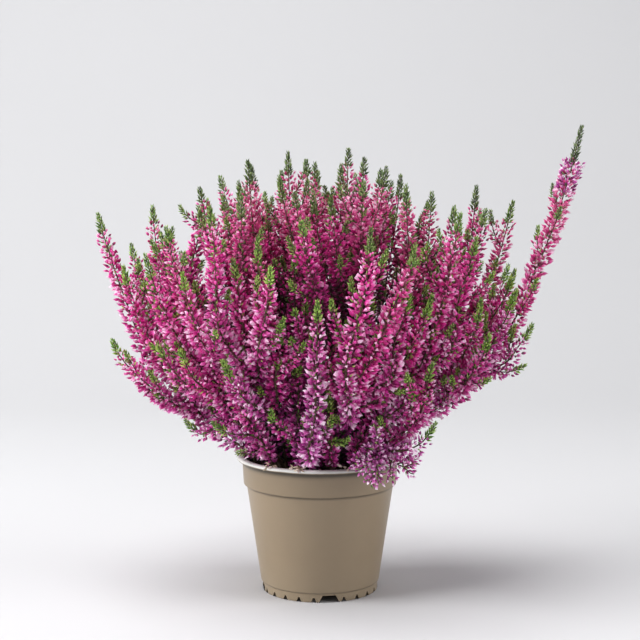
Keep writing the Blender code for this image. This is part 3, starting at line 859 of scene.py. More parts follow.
def mottle_group() -> bpy.types.NodeTree:
    """Builds the shared group that mottles a colour with soft blotches.

    Returns:
        The group, with Color, Vector, Scale and Amount going in and Color coming out.
    """
    name = "mottle"
    if name in bpy.data.node_groups:
        return bpy.data.node_groups[name]
    nodes = started_group(
        name,
        (
            ("Color", "INPUT", "Color"),
            ("Vector", "INPUT", "Vector"),
            ("Scale", "INPUT", "Float"),
            ("Amount", "INPUT", "Float"),
            ("Color", "OUTPUT", "Color"),
        ),
    )
    given = nodes.add("NodeGroupInput").outputs
    blotches = nodes.noise(given["Vector"], given["Scale"], 5.0)
    signed = nodes.math("MULTIPLY_ADD", blotches, 2.0, -1.0)
    bright = nodes.math("MULTIPLY_ADD", signed, given["Amount"], 1.0)
    scaled = nodes.add("ShaderNodeVectorMath", {0: given["Color"], "Scale": bright}, operation="SCALE")
    nodes.add("NodeGroupOutput", {0: scaled.outputs[0]})
    return nodes.tree


def grain_group() -> bpy.types.NodeTree:
    """Builds the shared group that gives the height of a fine grain.

    Returns:
        The group, with Vector and Scale going in and Height coming out.
    """
    name = "grain"
    if name in bpy.data.node_groups:
        return bpy.data.node_groups[name]
    sockets = (("Vector", "INPUT", "Vector"), ("Scale", "INPUT", "Float"), ("Height", "OUTPUT", "Float"))
    nodes = started_group(name, sockets)
    given = nodes.add("NodeGroupInput").outputs
    coarse = nodes.noise(given["Vector"], given["Scale"], 4.0)
    finer = nodes.math("MULTIPLY", given["Scale"], 3.7)
    fine = nodes.add("ShaderNodeTexVoronoi", {"Vector": given["Vector"], "Scale": finer})
    height = nodes.math("MULTIPLY_ADD", fine.outputs["Distance"], 0.4, coarse)
    nodes.add("NodeGroupOutput", {0: height})
    return nodes.tree


@dataclass(frozen=True)
class Finish:
    """What every finish shares: a name, a roughness, a mottle and a grain.

    The mottle is a scale and a share of the brightness, the grain a scale and a depth in metres. A finish's
    own noises are pairs too, of a scale and a detail.
    """

    name: str
    roughness: float
    mottle: Pair
    grain: Pair

    def paint(self, nodes: Nodes, here: Socket) -> Painted:
        """Colours the finish before its mottle and its grain.

        Args:
            nodes: The material's nodes.
            here: The coordinates.

        Returns:
            The colour or its socket, and the coordinates that the grain follows.
        """
        raise NotImplementedError

    def build(self) -> bpy.types.Material:
        """Builds the material.

        Returns:
            The finished material.
        """
        made = bpy.data.materials.new(self.name)
        made.use_nodes = True
        nodes = Nodes(made.node_tree)
        shader = nodes.shader
        shader.inputs["Roughness"].default_value = self.roughness
        here = nodes.add("ShaderNodeTexCoord").outputs["Object"]
        colour, grained = self.paint(nodes, here)
        given = {"Color": colour, "Vector": here, "Scale": self.mottle[0], "Amount": self.mottle[1]}
        mottled = nodes.add("ShaderNodeGroup", given, node_tree=mottle_group())
        nodes.tree.links.new(mottled.outputs[0], shader.inputs["Base Color"])
        scale, depth = self.grain
        if depth:
            given = {"Vector": grained, "Scale": scale}
            grain = nodes.add("ShaderNodeGroup", given, node_tree=grain_group())
            given = {"Height": grain.outputs[0], "Distance": depth, "Strength": 1.0}
            bump = nodes.add("ShaderNodeBump", given)
            nodes.tree.links.new(bump.outputs[0], shader.inputs["Normal"])
        return made


@dataclass(frozen=True)
class PetalFinish(Finish):
    """Dry papery sepals, dark at their root and pale at their point, the pale point partly their own colour
    and partly a painted highlight.

    The tone of a shoot goes from dusty rose, high and behind, through magenta to lilac, low at the rim.
    """

    name: str = "floret_petals"
    roughness: float = 0.34
    mottle: Pair = (900.0, 0.40)
    grain: Pair = (1400.0, 0.00012)
    # Partly a painted highlight: each floret grows paler towards its point.
    paling: Pair = (0.62, -0.27)
    calyx_reach: Pair = (-4.5, 0.85)
    rose: tuple = (
        (0.00, (0.070, 0.004, 0.018)),
        (0.30, (0.450, 0.034, 0.140)),
        (0.58, (0.680, 0.085, 0.260)),
        (0.80, (0.840, 0.230, 0.420)),
        (1.00, (0.980, 0.600, 0.740)),
    )
    magenta: tuple = (
        (0.00, (0.055, 0.001, 0.018)),
        (0.30, (0.510, 0.004, 0.185)),
        (0.58, (0.800, 0.016, 0.335)),
        (0.80, (0.930, 0.150, 0.530)),
        (1.00, (1.000, 0.590, 0.830)),
    )
    lilac: tuple = (
        (0.00, (0.030, 0.002, 0.020)),
        (0.30, (0.320, 0.018, 0.200)),
        (0.58, (0.590, 0.075, 0.410)),
        (0.80, (0.860, 0.350, 0.700)),
        (1.00, (1.000, 0.800, 0.940)),
    )
    calyx: Colour = (0.120, 0.085, 0.030)
    sheen: float = 0.2
    sheen_roughness: float = 0.4

    def paint(self, nodes: Nodes, here: Socket) -> Painted:
        """Paints each floret by its own tint, with painted shade inside the plant, and its shoot's tone,
        paler to its point partly as a painted highlight, brown at its root.
        """
        tone, along = nodes.mark("tone"), nodes.mark("along")
        paler = nodes.math("MULTIPLY_ADD", along, *self.paling)
        tint = nodes.math("ADD", nodes.mark("tint"), paler, clamped=True)
        warm = nodes.math("MULTIPLY", tone, 2.0, clamped=True)
        cool = nodes.math("MULTIPLY_ADD", tone, 2.0, -1.0, clamped=True)
        colour = nodes.mix(warm, nodes.ramp(tint, self.rose), nodes.ramp(tint, self.magenta))
        colour = nodes.mix(cool, colour, nodes.ramp(tint, self.lilac))
        root = nodes.math("MULTIPLY_ADD", along, *self.calyx_reach, clamped=True)
        nodes.shader.inputs["Sheen Weight"].default_value = self.sheen
        nodes.shader.inputs["Sheen Roughness"].default_value = self.sheen_roughness
        return nodes.mix(root, colour, self.calyx), here


@dataclass(frozen=True)
class LeafFinish(Finish):
    """Scale leaves, from grey-green at the plant's top to yellow-green low in front, darker inside the plant
    as painted shade.
    """

    name: str = "heather_leaf"
    roughness: float = 0.5
    mottle: Pair = (1100.0, 0.35)
    grain: Pair = (1800.0, 0.00008)
    paling: Pair = (0.60, -0.30)
    shaded: tuple = (
        (0.0, (0.016, 0.030, 0.012)),
        (0.5, (0.070, 0.105, 0.040)),
        (1.0, (0.190, 0.240, 0.115)),
    )
    fresh: tuple = (
        (0.0, (0.035, 0.090, 0.012)),
        (0.5, (0.185, 0.390, 0.036)),
        (1.0, (0.540, 0.740, 0.170)),
    )

    def paint(self, nodes: Nodes, here: Socket) -> Painted:
        """Paints each leaf by its own tint and how fresh its shoot is, with painted shade inside the plant,
        lighter to its point.
        """
        lighter = nodes.math("MULTIPLY_ADD", nodes.mark("along"), *self.paling)
        tint = nodes.math("ADD", nodes.mark("tint"), lighter, clamped=True)
        shaded, fresh = nodes.ramp(tint, self.shaded), nodes.ramp(tint, self.fresh)
        return nodes.mix(nodes.mark("tone"), shaded, fresh), here


@dataclass(frozen=True)
class BarkFinish(Finish):
    """Thin brown bark, split lengthwise and lighter where it peels."""

    name: str = "heather_bark"
    roughness: float = 0.85
    mottle: Pair = (160.0, 0.5)
    grain: Pair = (1200.0, 0.0004)
    stretch: float = 0.22
    splits: Pair = (900.0, 6.0)
    colours: tuple = (
        (0.25, (0.026, 0.015, 0.009)),
        (0.50, (0.090, 0.055, 0.033)),
        (0.75, (0.200, 0.140, 0.090)),
    )

    def paint(self, nodes: Nodes, here: Socket) -> Painted:
        """Paints splits drawn out along the stems."""
        drawn_out = nodes.stretched(here, self.stretch)
        return nodes.ramp(nodes.noise(drawn_out, *self.splits), self.colours), drawn_out


@dataclass(frozen=True)
class SoilFinish(Finish):
    """Damp peat, near black, with brown fibre and paler specks."""

    name: str = "peat"
    roughness: float = 0.95
    mottle: Pair = (90.0, 0.5)
    grain: Pair = (500.0, 0.0012)
    fibres: Pair = (420.0, 8.0)
    fibre_share: float = 0.80
    crumb_share: float = 0.45
    colours: tuple = (
        (0.30, (0.006, 0.004, 0.003)),
        (0.52, (0.022, 0.014, 0.009)),
        (0.72, (0.070, 0.044, 0.026)),
        (0.90, (0.180, 0.130, 0.085)),
    )

    def paint(self, nodes: Nodes, here: Socket) -> Painted:
        """Paints fibres, and each crumb by its own tint."""
        fibres = nodes.math("MULTIPLY", nodes.noise(here, *self.fibres), self.fibre_share)
        shade = nodes.math("MULTIPLY_ADD", nodes.mark("tint"), self.crumb_share, fibres, clamped=True)
        return nodes.ramp(shade, self.colours), here


@dataclass(frozen=True)
class PlasticFinish(Finish):
    """Thin taupe nursery plastic, with faint flow lines, a painted highlight on its lip and painted shade in
    its creases.

    The painted crease shade is given against height in metres, as (height, share of the colour that shows)
    pairs.
    """

    name: str = "taupe_plastic"
    roughness: float = 0.40
    mottle: Pair = (55.0, 0.06)
    grain: Pair = (1500.0, 0.00004)
    colour: Colour = (0.285, 0.216, 0.138)
    dust: Colour = (0.345, 0.272, 0.185)
    # Painted highlight: the pale colour on top of the lip stands in for light caught there.
    lip: Colour = (0.640, 0.640, 0.610)
    dust_height: float = 0.030
    highlight_height: float = 0.0881
    crease_shade_height: float = 0.1
    wavering: float = 0.0006
    waves: Pair = (120.0, 3.0)
    stretch: float = 0.06
    flow: Pair = (60.0, 4.0)
    flow_roughness: float = 0.16
    highlight_sharpness: float = 2500.0
    # Painted shade: darker bands under the lip, under the collar's step and round the foot.
    crease_shade: Pairs = (
        (0.0000, 0.70),
        (0.0010, 1.00),
        (0.0056, 1.00),
        (0.0062, 0.52),
        (0.0069, 1.00),
        (0.0692, 1.00),
        (0.0704, 0.55),
        (0.0711, 0.30),
        (0.0717, 0.80),
        (0.0724, 0.92),
        (0.0826, 0.88),
        (0.0842, 0.74),
        (0.0853, 0.34),
        (0.0862, 0.18),
        (0.0876, 0.18),
        (0.0880, 0.80),
        (0.0884, 1.00),
    )

    def paint(self, nodes: Nodes, here: Socket) -> Painted:
        """Paints the dust and the flow lines, the painted crease shade by height, and the painted highlight
        on the lip.
        """
        height = nodes.add("ShaderNodeSeparateXYZ", {0: here}).outputs["Z"]
        lines = nodes.noise(nodes.stretched(here, self.stretch), *self.flow)
        low = nodes.math("MULTIPLY_ADD", height, -1.0 / self.dust_height, 1.0, clamped=True)
        colour = nodes.mix(nodes.math("MULTIPLY", low, lines), self.colour, self.dust)
        level = nodes.math("SUBTRACT", height, self.wavering / 2)
        level = nodes.math("MULTIPLY_ADD", nodes.noise(here, *self.waves), self.wavering, level)
        # Painted shade: the colour is darkened in bands by height, where the creases would be in shadow.
        shades = [(at / self.crease_shade_height, (share, share, share)) for at, share in self.crease_shade]
        crease_shaded = nodes.ramp(nodes.math("DIVIDE", level, self.crease_shade_height), shades)
        colour = nodes.mix(1.0, colour, crease_shaded, "MULTIPLY")
        # Painted highlight: the top of the lip is painted pale above a height.
        above = nodes.math("SUBTRACT", level, self.highlight_height)
        highlight_mask = nodes.math("MULTIPLY", above, self.highlight_sharpness, clamped=True)
        smoothest = self.roughness - self.flow_roughness / 2
        rough = nodes.math("MULTIPLY_ADD", lines, self.flow_roughness, smoothest)
        nodes.tree.links.new(rough, nodes.shader.inputs["Roughness"])
        return nodes.mix(highlight_mask, colour, self.lip), here


@dataclass(frozen=True)
class HuskFinish(Finish):
    """Dried florets that have dropped: papery, tan with a trace of pink."""

    name: str = "dry_husk"
    roughness: float = 0.8
    mottle: Pair = (700.0, 0.4)
    grain: Pair = (1200.0, 0.00015)
    colours: tuple = (
        (0.0, (0.200, 0.120, 0.070)),
        (0.5, (0.500, 0.390, 0.280)),
        (0.8, (0.700, 0.600, 0.480)),
        (1.0, (0.780, 0.600, 0.580)),
    )

    def paint(self, nodes: Nodes, here: Socket) -> Painted:
        """Paints each dry floret by its own tint."""
        return nodes.ramp(nodes.mark("tint"), self.colours), here


@dataclass(frozen=True)
class StudioFinish(Finish):
    """The matt, nearly white sweep that the pot stands on."""

    name: str = "studio_paper"
    roughness: float = 0.9
    mottle: Pair = (1.5, 0.02)
    grain: Pair = (1.0, 0.0)
    colour: Colour = (0.61, 0.61, 0.62)

    def paint(self, nodes: Nodes, here: Socket) -> Painted:
        """Leaves the paper plain."""
        return (*self.colour, 1.0), here


class BudForm(Enum):
    """How full a floret's bud is."""

    SLIM = "slim"
    PLUMP = "plump"
    PARTED = "parted"


class Template:
    """A small shape that is copied many times, one long and one wide, standing on its own root."""

    def __init__(self, name: str, shape: bmesh.types.BMesh) -> None:
        """Keeps the shape as a mesh, with the marks that its material reads.

        Args:
            name: The mesh's name.
            shape: The bmesh that holds it, which is freed.
        """
        bmesh.ops.triangulate(shape, faces=shape.faces)
        bmesh.ops.recalc_face_normals(shape, faces=shape.faces)
        self.mesh = mesh_of(name, shape)
        self.rest = np.zeros(3 * len(self.mesh.vertices), np.float32)
        self.mesh.vertices.foreach_get("co", self.rest)
        for mark in ("tint", "tone", "along"):
            self.mesh.attributes.new(mark, "FLOAT", "POINT")
        along = np.clip(self.rest[2::3], 0.0, 1.0)
        self.mesh.attributes["along"].data.foreach_set("value", along)


class Cluster:
    """Copies of templates, gathered in one mesh."""

    def __init__(self) -> None:
        """Starts empty."""
        self.shape = bmesh.new()

    def add(self, template: Template, place: Matrix, tint: float, tone: float) -> None:
        """Adds a copy.

        Args:
            template: What to copy.
            place: Where the copy stands, how it is turned and how large it is.
            tint: Its own draw of colour, darkened inside the plant for florets and leaves as painted shade.
            tone: The tone of what it grows on.
        """
        mesh = template.mesh
        count = len(mesh.vertices)
        mesh.attributes["tint"].data.foreach_set("value", [tint] * count)
        mesh.attributes["tone"].data.foreach_set("value", [tone] * count)
        mesh.transform(place)
        self.shape.from_mesh(mesh)
        mesh.vertices.foreach_set("co", template.rest)

    def piece(self, name: str, finish: bpy.types.Material) -> bpy.types.Object:
        """Makes the gathered copies one object.

        Args:
            name: The object's name.
            finish: Its material.

        Returns:
            The object, at the origin.
        """
        return linked(name, mesh_of(name, self.shape), finish)


def ringed(rings: list[Pair], root: float, tip: float, sides: int) -> bmesh.types.BMesh:
    """Shapes a spindle from a cone, ring by ring.

    Args:
        rings: The (radius, height) of each ring between the two ends, from the root up.
        root: The height of the pointed root.
        tip: The height of the pointed tip.
        sides: How many sides it has.

    Returns:
        The closed spindle.
    """
    shape = bmesh.new()
    start = bmesh.ops.create_circle(shape, cap_ends=False, radius=rings[0][0], segments=sides)["verts"]
    bmesh.ops.translate(shape, verts=start, vec=(0, 0, rings[0][1]))
    edges = list(shape.edges)
    bottom = list(edges)
    for (radius, height), (wider, higher) in zip(rings, rings[1:]):
        grown = bmesh.ops.extrude_edge_only(shape, edges=edges)["geom"]
        verts = verts_in(grown)
        edges = [item for item in grown if isinstance(item, bmesh.types.BMEdge)]
        bmesh.ops.scale(shape, verts=verts, vec=(wider / radius, wider / radius, 1))
        bmesh.ops.translate(shape, verts=verts, vec=(0, 0, higher - height))
    for loop, height in ((bottom, root), (edges, tip)):
        grown = bmesh.ops.extrude_edge_only(shape, edges=loop)["geom"]
        bmesh.ops.pointmerge(shape, verts=verts_in(grown), merge_co=(0, 0, height))
    return shape


def bud(form: BudForm) -> Template:
    """Models one floret, a closed bud of keeled sepals.

    Args:
        form: How full it is.

    Returns:
        The floret's template.
    """
    rings, tip = {
        BudForm.SLIM: ([(0.42, 0.24), (0.50, 0.52)], 1.04),
        BudForm.PLUMP: ([(0.50, 0.22), (0.56, 0.58)], 1.00),
        BudForm.PARTED: ([(0.44, 0.24), (0.66, 0.94)], 0.66),
    }[form]
    return Template(f"bud_{form.value}", ringed(rings, 0.0, tip, 3))


def leaf() -> Template:
    """Models one scale leaf, three-sided and pointed at both ends."""
    return Template("scale_leaf", ringed([(0.5, 0.36)], 0.0, 1.0, 3))


def clod(rng: random.Random) -> Template:
    """Models one crumb of soil.

    Args:
        rng: The seeded draws.

    Returns:
        The crumb's template.
    """
    shape = bmesh.new()
    bmesh.ops.create_icosphere(shape, subdivisions=1, radius=0.5)
    for vertex in shape.verts:
        vertex.co *= rng.uniform(0.72, 1.15)
    return Template("crumb", shape)


def standing(centre: Vector, direction: Vector, spin: float, width: float, length: float) -> Matrix:
    """Places a template.

    Args:
        centre: Where its root goes.
        direction: Which way it points.
        spin: How far it is turned about itself.
        width: Its width.
        length: Its length.

    Returns:
        The matrix that takes the template there.
    """
    facing = direction.to_track_quat("Z", "Y").to_matrix().to_4x4()
    size = Matrix.Diagonal((width, width, length, 1.0))
    return Matrix.Translation(centre) @ facing @ Matrix.Rotation(spin, 4, "Z") @ size


def outward(turn: float, side: Vector, across: Vector) -> Vector:
    """The way out of a strand at a turn round it."""
    return math.cos(turn) * side + math.sin(turn) * across


def lifted(out: Vector, tangent: Vector, lift: float) -> Vector:
    """A way out of a strand, lifted by an angle towards the strand's end."""
    return (math.cos(lift) * out + math.sin(lift) * tangent).normalized()


def dress(obj: bpy.types.Object, slot: str, *nodes: str) -> bpy.types.Object:
    """Attaches a finished piece to the plant's body and hides the solids that it stands for.

    Args:
        obj: The piece.
        slot: The record's material slot that it would take its finish from, or nothing; not used.
        *nodes: The solids that it stands for.

    Returns:
        The piece.
    """
    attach(obj, BODY)
    if nodes:
        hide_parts(*nodes)
    LOG.info("%s: %d triangles", obj.name, sum(len(face.vertices) - 2 for face in obj.data.polygons))
    return obj


@dataclass
class NurseryPot:
    """The pot, turned round its axis: lip, collar, tapered wall, floor with drain holes, notched foot."""

    sizes: PotSizes
    finish: bpy.types.Material
    segments: int = 144
    rounding: float = 0.0003
    crease_angle: float = math.radians(18.0)
    sharp_angle: float = math.radians(35.0)
    notch_places: int = 24
    wide_notch_every: int = 6
    first_notch_turn: float = math.radians(-81.0)
    small_notch: tuple[float, float, float] = (0.0036, 0.0011, 0.0030)
    wide_notch: tuple[float, float, float] = (0.0135, 0.0085, 0.0046)
    notch_overrun: float = 0.0027
    drain_holes: int = 4
    drain_hole_radius: float = 0.0042
    drain_hole_ring: float = 0.026
    drain_segments: int = 24

    def profile(self) -> list[Pair]:
        """The pot's section from the axis out, up, over the lip and back, as (radius, height) points."""
        pot = self.sizes
        collar_top = pot.height - pot.lip_depth
        collar_foot = collar_top - pot.collar_depth
        inside = pot.inside()
        return [
            (0.0, pot.floor_height),
            (pot.foot_radius - pot.foot_wall, pot.floor_height),
            (pot.foot_radius - pot.foot_wall, 0.0),
            (pot.foot_radius, 0.0),
            (pot.foot_radius, pot.foot_height - pot.edge),
            (pot.body_foot_radius, pot.foot_height),
            (pot.body_top_radius, collar_foot - pot.edge),
            (pot.collar_foot_radius, collar_foot),
            (pot.collar_top_radius, collar_top),
            (pot.lip_radius - pot.edge, collar_top),
            (pot.lip_radius, collar_top + pot.edge),
            (pot.lip_radius, pot.height - pot.edge),
            (pot.lip_radius - pot.edge, pot.height),
            (inside[-1][0] + pot.edge, pot.height),
            *reversed(inside),
            (0.0, inside[0][1]),
        ]

    def wall(self) -> bpy.types.Object:
        """Turns the section round the axis and rounds its edges.

        Returns:
            The uncut pot.
        """
        shape = turned(self.profile(), self.segments)
        inner = [edge for edge in shape.edges if len(edge.link_faces) == 2]
        creased = [edge for edge in inner if edge.calc_face_angle() > self.crease_angle]
        bmesh.ops.bevel(
            shape,
            geom=creased,
            offset=self.rounding,
            offset_type="OFFSET",
            segments=2,
            profile=0.5,
            affect="EDGES",
            material=-1,
        )
        return linked("pot_shell", mesh_of("pot_shell", shape))

    def notch(self, place: int) -> bmesh.types.BMesh:
        """Shapes the cutter for one of the notches round the foot, a wide or a small one.

        Args:
            place: Which notch it is.

        Returns:
            The cutter, a bar that widens downwards.
        """
        pot = self.sizes
        width, top, height = self.wide_notch if place % self.wide_notch_every == 0 else self.small_notch
        shape = bmesh.new()
        bmesh.ops.create_cube(shape, size=1.0)
        length = pot.foot_wall + 2 * self.notch_overrun
        bmesh.ops.scale(shape, verts=shape.verts, vec=(length, width, height))
        bmesh.ops.translate(shape, verts=shape.verts, vec=(0, 0, height / 2))
        upper = [v for v in shape.verts if v.co.z > height / 2]
        bmesh.ops.scale(shape, verts=upper, vec=(1, top / width, 1))
        under = [face for face in shape.faces if face.calc_center_median().z < height / 4]
        drawn = bmesh.ops.extrude_face_region(shape, geom=under)["geom"]
        bmesh.ops.translate(shape, verts=verts_in(drawn), vec=(0, 0, -pot.foot_wall))
        bmesh.ops.translate(shape, verts=shape.verts, vec=(pot.foot_radius - pot.foot_wall / 2, 0, 0))
        turn = self.first_notch_turn + math.tau * place / self.notch_places
        bmesh.ops.rotate(shape, verts=shape.verts, cent=(0, 0, 0), matrix=Matrix.Rotation(turn, 3, "Z"))
        return shape

    def drain(self, hole: int) -> bmesh.types.BMesh:
        """Shapes the cutter for one of the drain holes.

        Args:
            hole: Which hole it is.

        Returns:
            The cutter, a short cylinder.
        """
        turn = self.first_notch_turn + math.tau * (hole + 0.5) / self.drain_holes
        shape = bmesh.new()
        out = Matrix.Translation((self.drain_hole_ring, 0, self.sizes.floor_height))
        bmesh.ops.create_cone(
            shape,
            cap_ends=True,
            segments=self.drain_segments,
            radius1=self.drain_hole_radius,
            radius2=self.drain_hole_radius,
            depth=4 * self.sizes.floor_thickness,
            matrix=Matrix.Rotation(turn, 4, "Z") @ out,
        )
        return shape

    def build(self) -> bpy.types.Object:
        """Builds the pot.

        Returns:
            The finished piece.
        """
        obj = self.wall()
        cutters = bpy.data.collections.new("pot_cutters")
        bpy.context.scene.collection.children.link(cutters)
        shapes = [self.notch(place) for place in range(self.notch_places)]
        shapes += [self.drain(hole) for hole in range(self.drain_holes)]
        for shape in shapes:
            cutters.objects.link(bpy.data.objects.new("pot_cutter", mesh_of("pot_cutter", shape)))
        modifier = obj.modifiers.new("Cuts", "BOOLEAN")
        modifier.operation = "DIFFERENCE"
        modifier.operand_type = "COLLECTION"
        modifier.collection = cutters
        modifier.solver = "EXACT"
        mesh = evaluated(obj)
        obj.modifiers.clear()
        obj.data = mesh
        for cutter in list(cutters.objects):
            bpy.data.objects.remove(cutter, do_unlink=True)
        bpy.data.collections.remove(cutters)
        mesh.transform(Matrix.Translation(self.sizes.place))
        mesh.shade_smooth()
        mesh.set_sharp_from_angle(angle=self.sharp_angle)
        mesh.materials.clear()
        mesh.materials.append(self.finish)
        return dress(obj, "pot_plastic", "pot")


@dataclass(frozen=True)
class Litter:
    """One kind of loose litter: how many bits, how long they are, and how wide beside that."""

    name: str
    slot: str
    count: int
    lengths: Pair
    widths: Pair


@dataclass
class PottingMix:
    """The plug of potting mix, crumbly on top, with loose crumbs, bark and fallen florets on it."""

    sizes: PotSizes
    finish: bpy.types.Material
    bark: bpy.types.Material
    husk: bpy.types.Material
    segments: int = 96
    rings: int = 26
    relief: float = 0.0016
    relief_scale: float = 260.0
    relief_slice: float = 0.4
    relief_octaves: tuple[float, float, int] = (0.8, 2.1, 5)
    crumbs: Litter = Litter("soil_crumbs", "potting_mix", 900, (0.0008, 0.0030), (1.0, 1.0))
    chips: Litter = Litter("bark_chips", "heather_wood", 150, (0.0032, 0.0080), (0.22, 0.36))
    fallen: Litter = Litter("fallen_florets", "heather_flowers", 110, (0.0032, 0.0042), (0.4, 0.5))
    crumb_shapes: int = 4
    lying_ways: Pairs = ((-1, 1), (-1, 1), (-0.1, 0.35))
    sinking: float = 0.4
    wall_gap: float = 0.0016
    heaps: tuple = ((-106.0, 16), (-70.0, 5), (-128.0, 6), (60.0, 7))
    heap_spread: float = 2.6
    heap_reach: Pair = (-0.0042, 0.0002)
    heap_rise: Pair = (0.0002, 0.0016)
    heap_ways: Pairs = ((-1, 1), (-1, 0.4), (-0.7, 0.6))
    heap_lengths: Pair = (0.0030, 0.0046)
    heap_width: float = 0.42
    seed: int = 11

    def rise(self, x: float, y: float) -> float:
        """How far the soil stands above its level at a place round the pot's axis."""
        place = Vector((x * self.relief_scale, y * self.relief_scale, self.relief_slice))
        return self.relief * noise.fractal(place, *self.relief_octaves)

    def plug(self) -> bpy.types.Object:
        """Turns the plug and roughens its top.

        Returns:
            The finished piece.
        """
        pot = self.sizes
        inside = pot.inside()
        edge = pot.inner_radius(pot.soil_top) - 2 * pot.gap
        profile = [
            (0.0, inside[0][1] + pot.gap),
            (inside[0][0] - 2 * pot.gap, inside[0][1] + pot.gap),
            *((radius - 2 * pot.gap, height) for radius, height in inside[1:3]),
            *((edge * (self.rings - ring) / self.rings, pot.soil_top) for ring in range(self.rings)),
            (0.0, pot.soil_top),
        ]
        shape = turned(profile, self.segments)
        for vertex in shape.verts:
            if vertex.co.z > pot.soil_top - pot.edge:
                vertex.co.z += self.rise(vertex.co.x, vertex.co.y)
        bmesh.ops.translate(shape, verts=shape.verts, vec=pot.place)
        mesh = mesh_of("soil_plug", shape)
        mesh.shade_smooth()
        return dress(linked("soil_plug", mesh, self.finish), "potting_mix", "soil")

    @staticmethod
    def lying(rng: random.Random, ways: Pairs) -> Vector:
        """Draws the way that a bit points, along each axis between two ends."""
        return Vector([rng.uniform(*ends) for ends in ways]).normalized()

    def spot(self, rng: random.Random, reach: float) -> Vector:
        """Draws a place on the soil, within a reach of the pot's axis."""
        around = reach * math.sqrt(rng.random())
        turn = rng.uniform(0, math.tau)
        x, y = around * math.cos(turn), around * math.sin(turn)
        return Vector((x, y, self.sizes.soil_top + self.rise(x, y))) + Vector(self.sizes.place)

    def scatter(
        self, rng: random.Random, kind: Litter, templates: list[Template], finish: bpy.types.Material
    ) -> None:
        """Scatters one kind of litter over the soil.

        Args:
            rng: The seeded draws.
            kind: The kind of litter.
            templates: The shapes that it comes in.
            finish: Its material.
        """
        reach = self.sizes.inner_radius(self.sizes.soil_top) - self.wall_gap
        cluster = Cluster()
        for _ in range(kind.count):
            lying = self.lying(rng, self.lying_ways)
            length = rng.uniform(*kind.lengths)
            width = length * rng.uniform(*kind.widths)
            spot = self.spot(rng, reach) + Vector((0, 0, self.sinking * width))
            place = standing(spot, lying, rng.uniform(0, math.tau), width, length)
            cluster.add(rng.choice(templates), place, rng.random(), rng.random())
        dress(cluster.piece(kind.name, finish), kind.slot)

    def dry_bits(self, rng: random.Random, floret: Template) -> None:
        """Lays small heaps of dried florets on the lip.

        Args:
            rng: The seeded draws.
            floret: The floret's template.
        """
        pot = self.sizes
        cluster = Cluster()
        for degrees, count in self.heaps:
            for _ in range(count):
                azimuth = degrees + rng.gauss(0, self.heap_spread)
                x, y, _ = polar(azimuth, pot.lip_radius + rng.uniform(*self.heap_reach), 0)
                lying = self.lying(rng, self.heap_ways)
                length = rng.uniform(*self.heap_lengths)
                spot = Vector((x, y, pot.height + rng.uniform(*self.heap_rise))) + Vector(pot.place)
                place = standing(spot, lying, rng.uniform(0, math.tau), self.heap_width * length, length)
                cluster.add(floret, place, rng.random(), 0.0)
        dress(cluster.piece("dry_florets_on_lip", self.husk), "heather_flowers")

    def build(self) -> None:
        """Builds the plug and what lies on it and on the lip."""
        self.plug()
        rng = random.Random(self.seed)
        crumbs = [clod(rng) for _ in range(self.crumb_shapes)]
        floret = bud(BudForm.SLIM)
        self.scatter(rng, self.crumbs, crumbs, self.finish)
        self.scatter(rng, self.chips, crumbs, self.bark)
        self.scatter(rng, self.fallen, [floret], self.husk)
        self.dry_bits(rng, floret)


@dataclass(frozen=True)
class FloretRule:
    """How florets are set round a strand.

    A pair is the two ends of an even draw, save where its name says otherwise. What is called young is near
    the strand's end.
    """

    per_metre: float = 2750.0
    spacings: Pair = (0.7, 1.3)
    full_room: float = 0.0072
    least_crowd: float = 0.6
    turn_draw: float = 0.3
    length: float = 0.0051
    lengths: Pair = (0.80, 1.12)
    width: float = 0.0023
    widths: Pair = (0.80, 1.15)
    lifts: Pair = (0.05, 0.80)
    young_reach: float = 0.030
    young_length: float = 0.60
    young_width: float = 0.66
    young_lift: float = 0.30
    young_slimness: float = 0.35
    forms: tuple[float, float, float] = (0.50, 0.34, 0.16)
    outer_share: float = 0.70
    outer_layer: Pair = (0.84, 1.16)
    inner_layer: Pair = (0.45, 0.84)
    least_reach: float = 0.0042
    stand_off: float = 0.0004
    least_root: float = 0.0005
    tint_curve: Pair = (1.7, 1.4)
    # Painted shade: these darken the tints inside the plant and close to the strand's axis.
    layer_shading: Pair = (0.25, 0.80)
    shading: float = 0.7
    shade: float = 0.30
    least_tint: float = 0.04


@dataclass(frozen=True)
class LeafRule:
    """How small leaves are set among the florets of a strand. A pair is the two ends of an even draw."""

    per_metre: float = 330.0
    crowd_inside: float = 2.2
    crowd_fall: float = 1.2
    spacings: Pair = (0.5, 1.5)
    length: float = 0.0036
    lengths: Pair = (0.7, 1.3)
    width: float = 0.0013
    lifts: Pair = (0.35, 1.1)
    depths: Pair = (0.25, 1.0)
    least_root: float = 0.0004
    green: float = 0.8


@dataclass(frozen=True)
class TipRule:
    """How leaves clothe the end of a strand. A pair is the two ends of an even draw."""

    per_metre: float = 3200.0
    spacings: Pair = (0.8, 1.2)
    length: float = 0.0040
    width: float = 0.0017
    sizes: Pair = (0.8, 1.15)
    end_size: float = 0.42
    lifts: Pair = (0.40, 0.95)
    end_lift: float = 0.50
    stand_off: float = 0.0008
    tints: Pair = (0.1, 1.0)
    green_draw: float = 0.15


@dataclass
class SprayParts:
    """What is gathered for one spray: its florets, its leaves and the lines of its wood."""

    florets: Cluster = field(default_factory=Cluster)
    leaves: Cluster = field(default_factory=Cluster)
    stems: list[tuple[np.ndarray, np.ndarray]] = field(default_factory=list)
    twigs: list[tuple[np.ndarray, np.ndarray]] = field(default_factory=list)


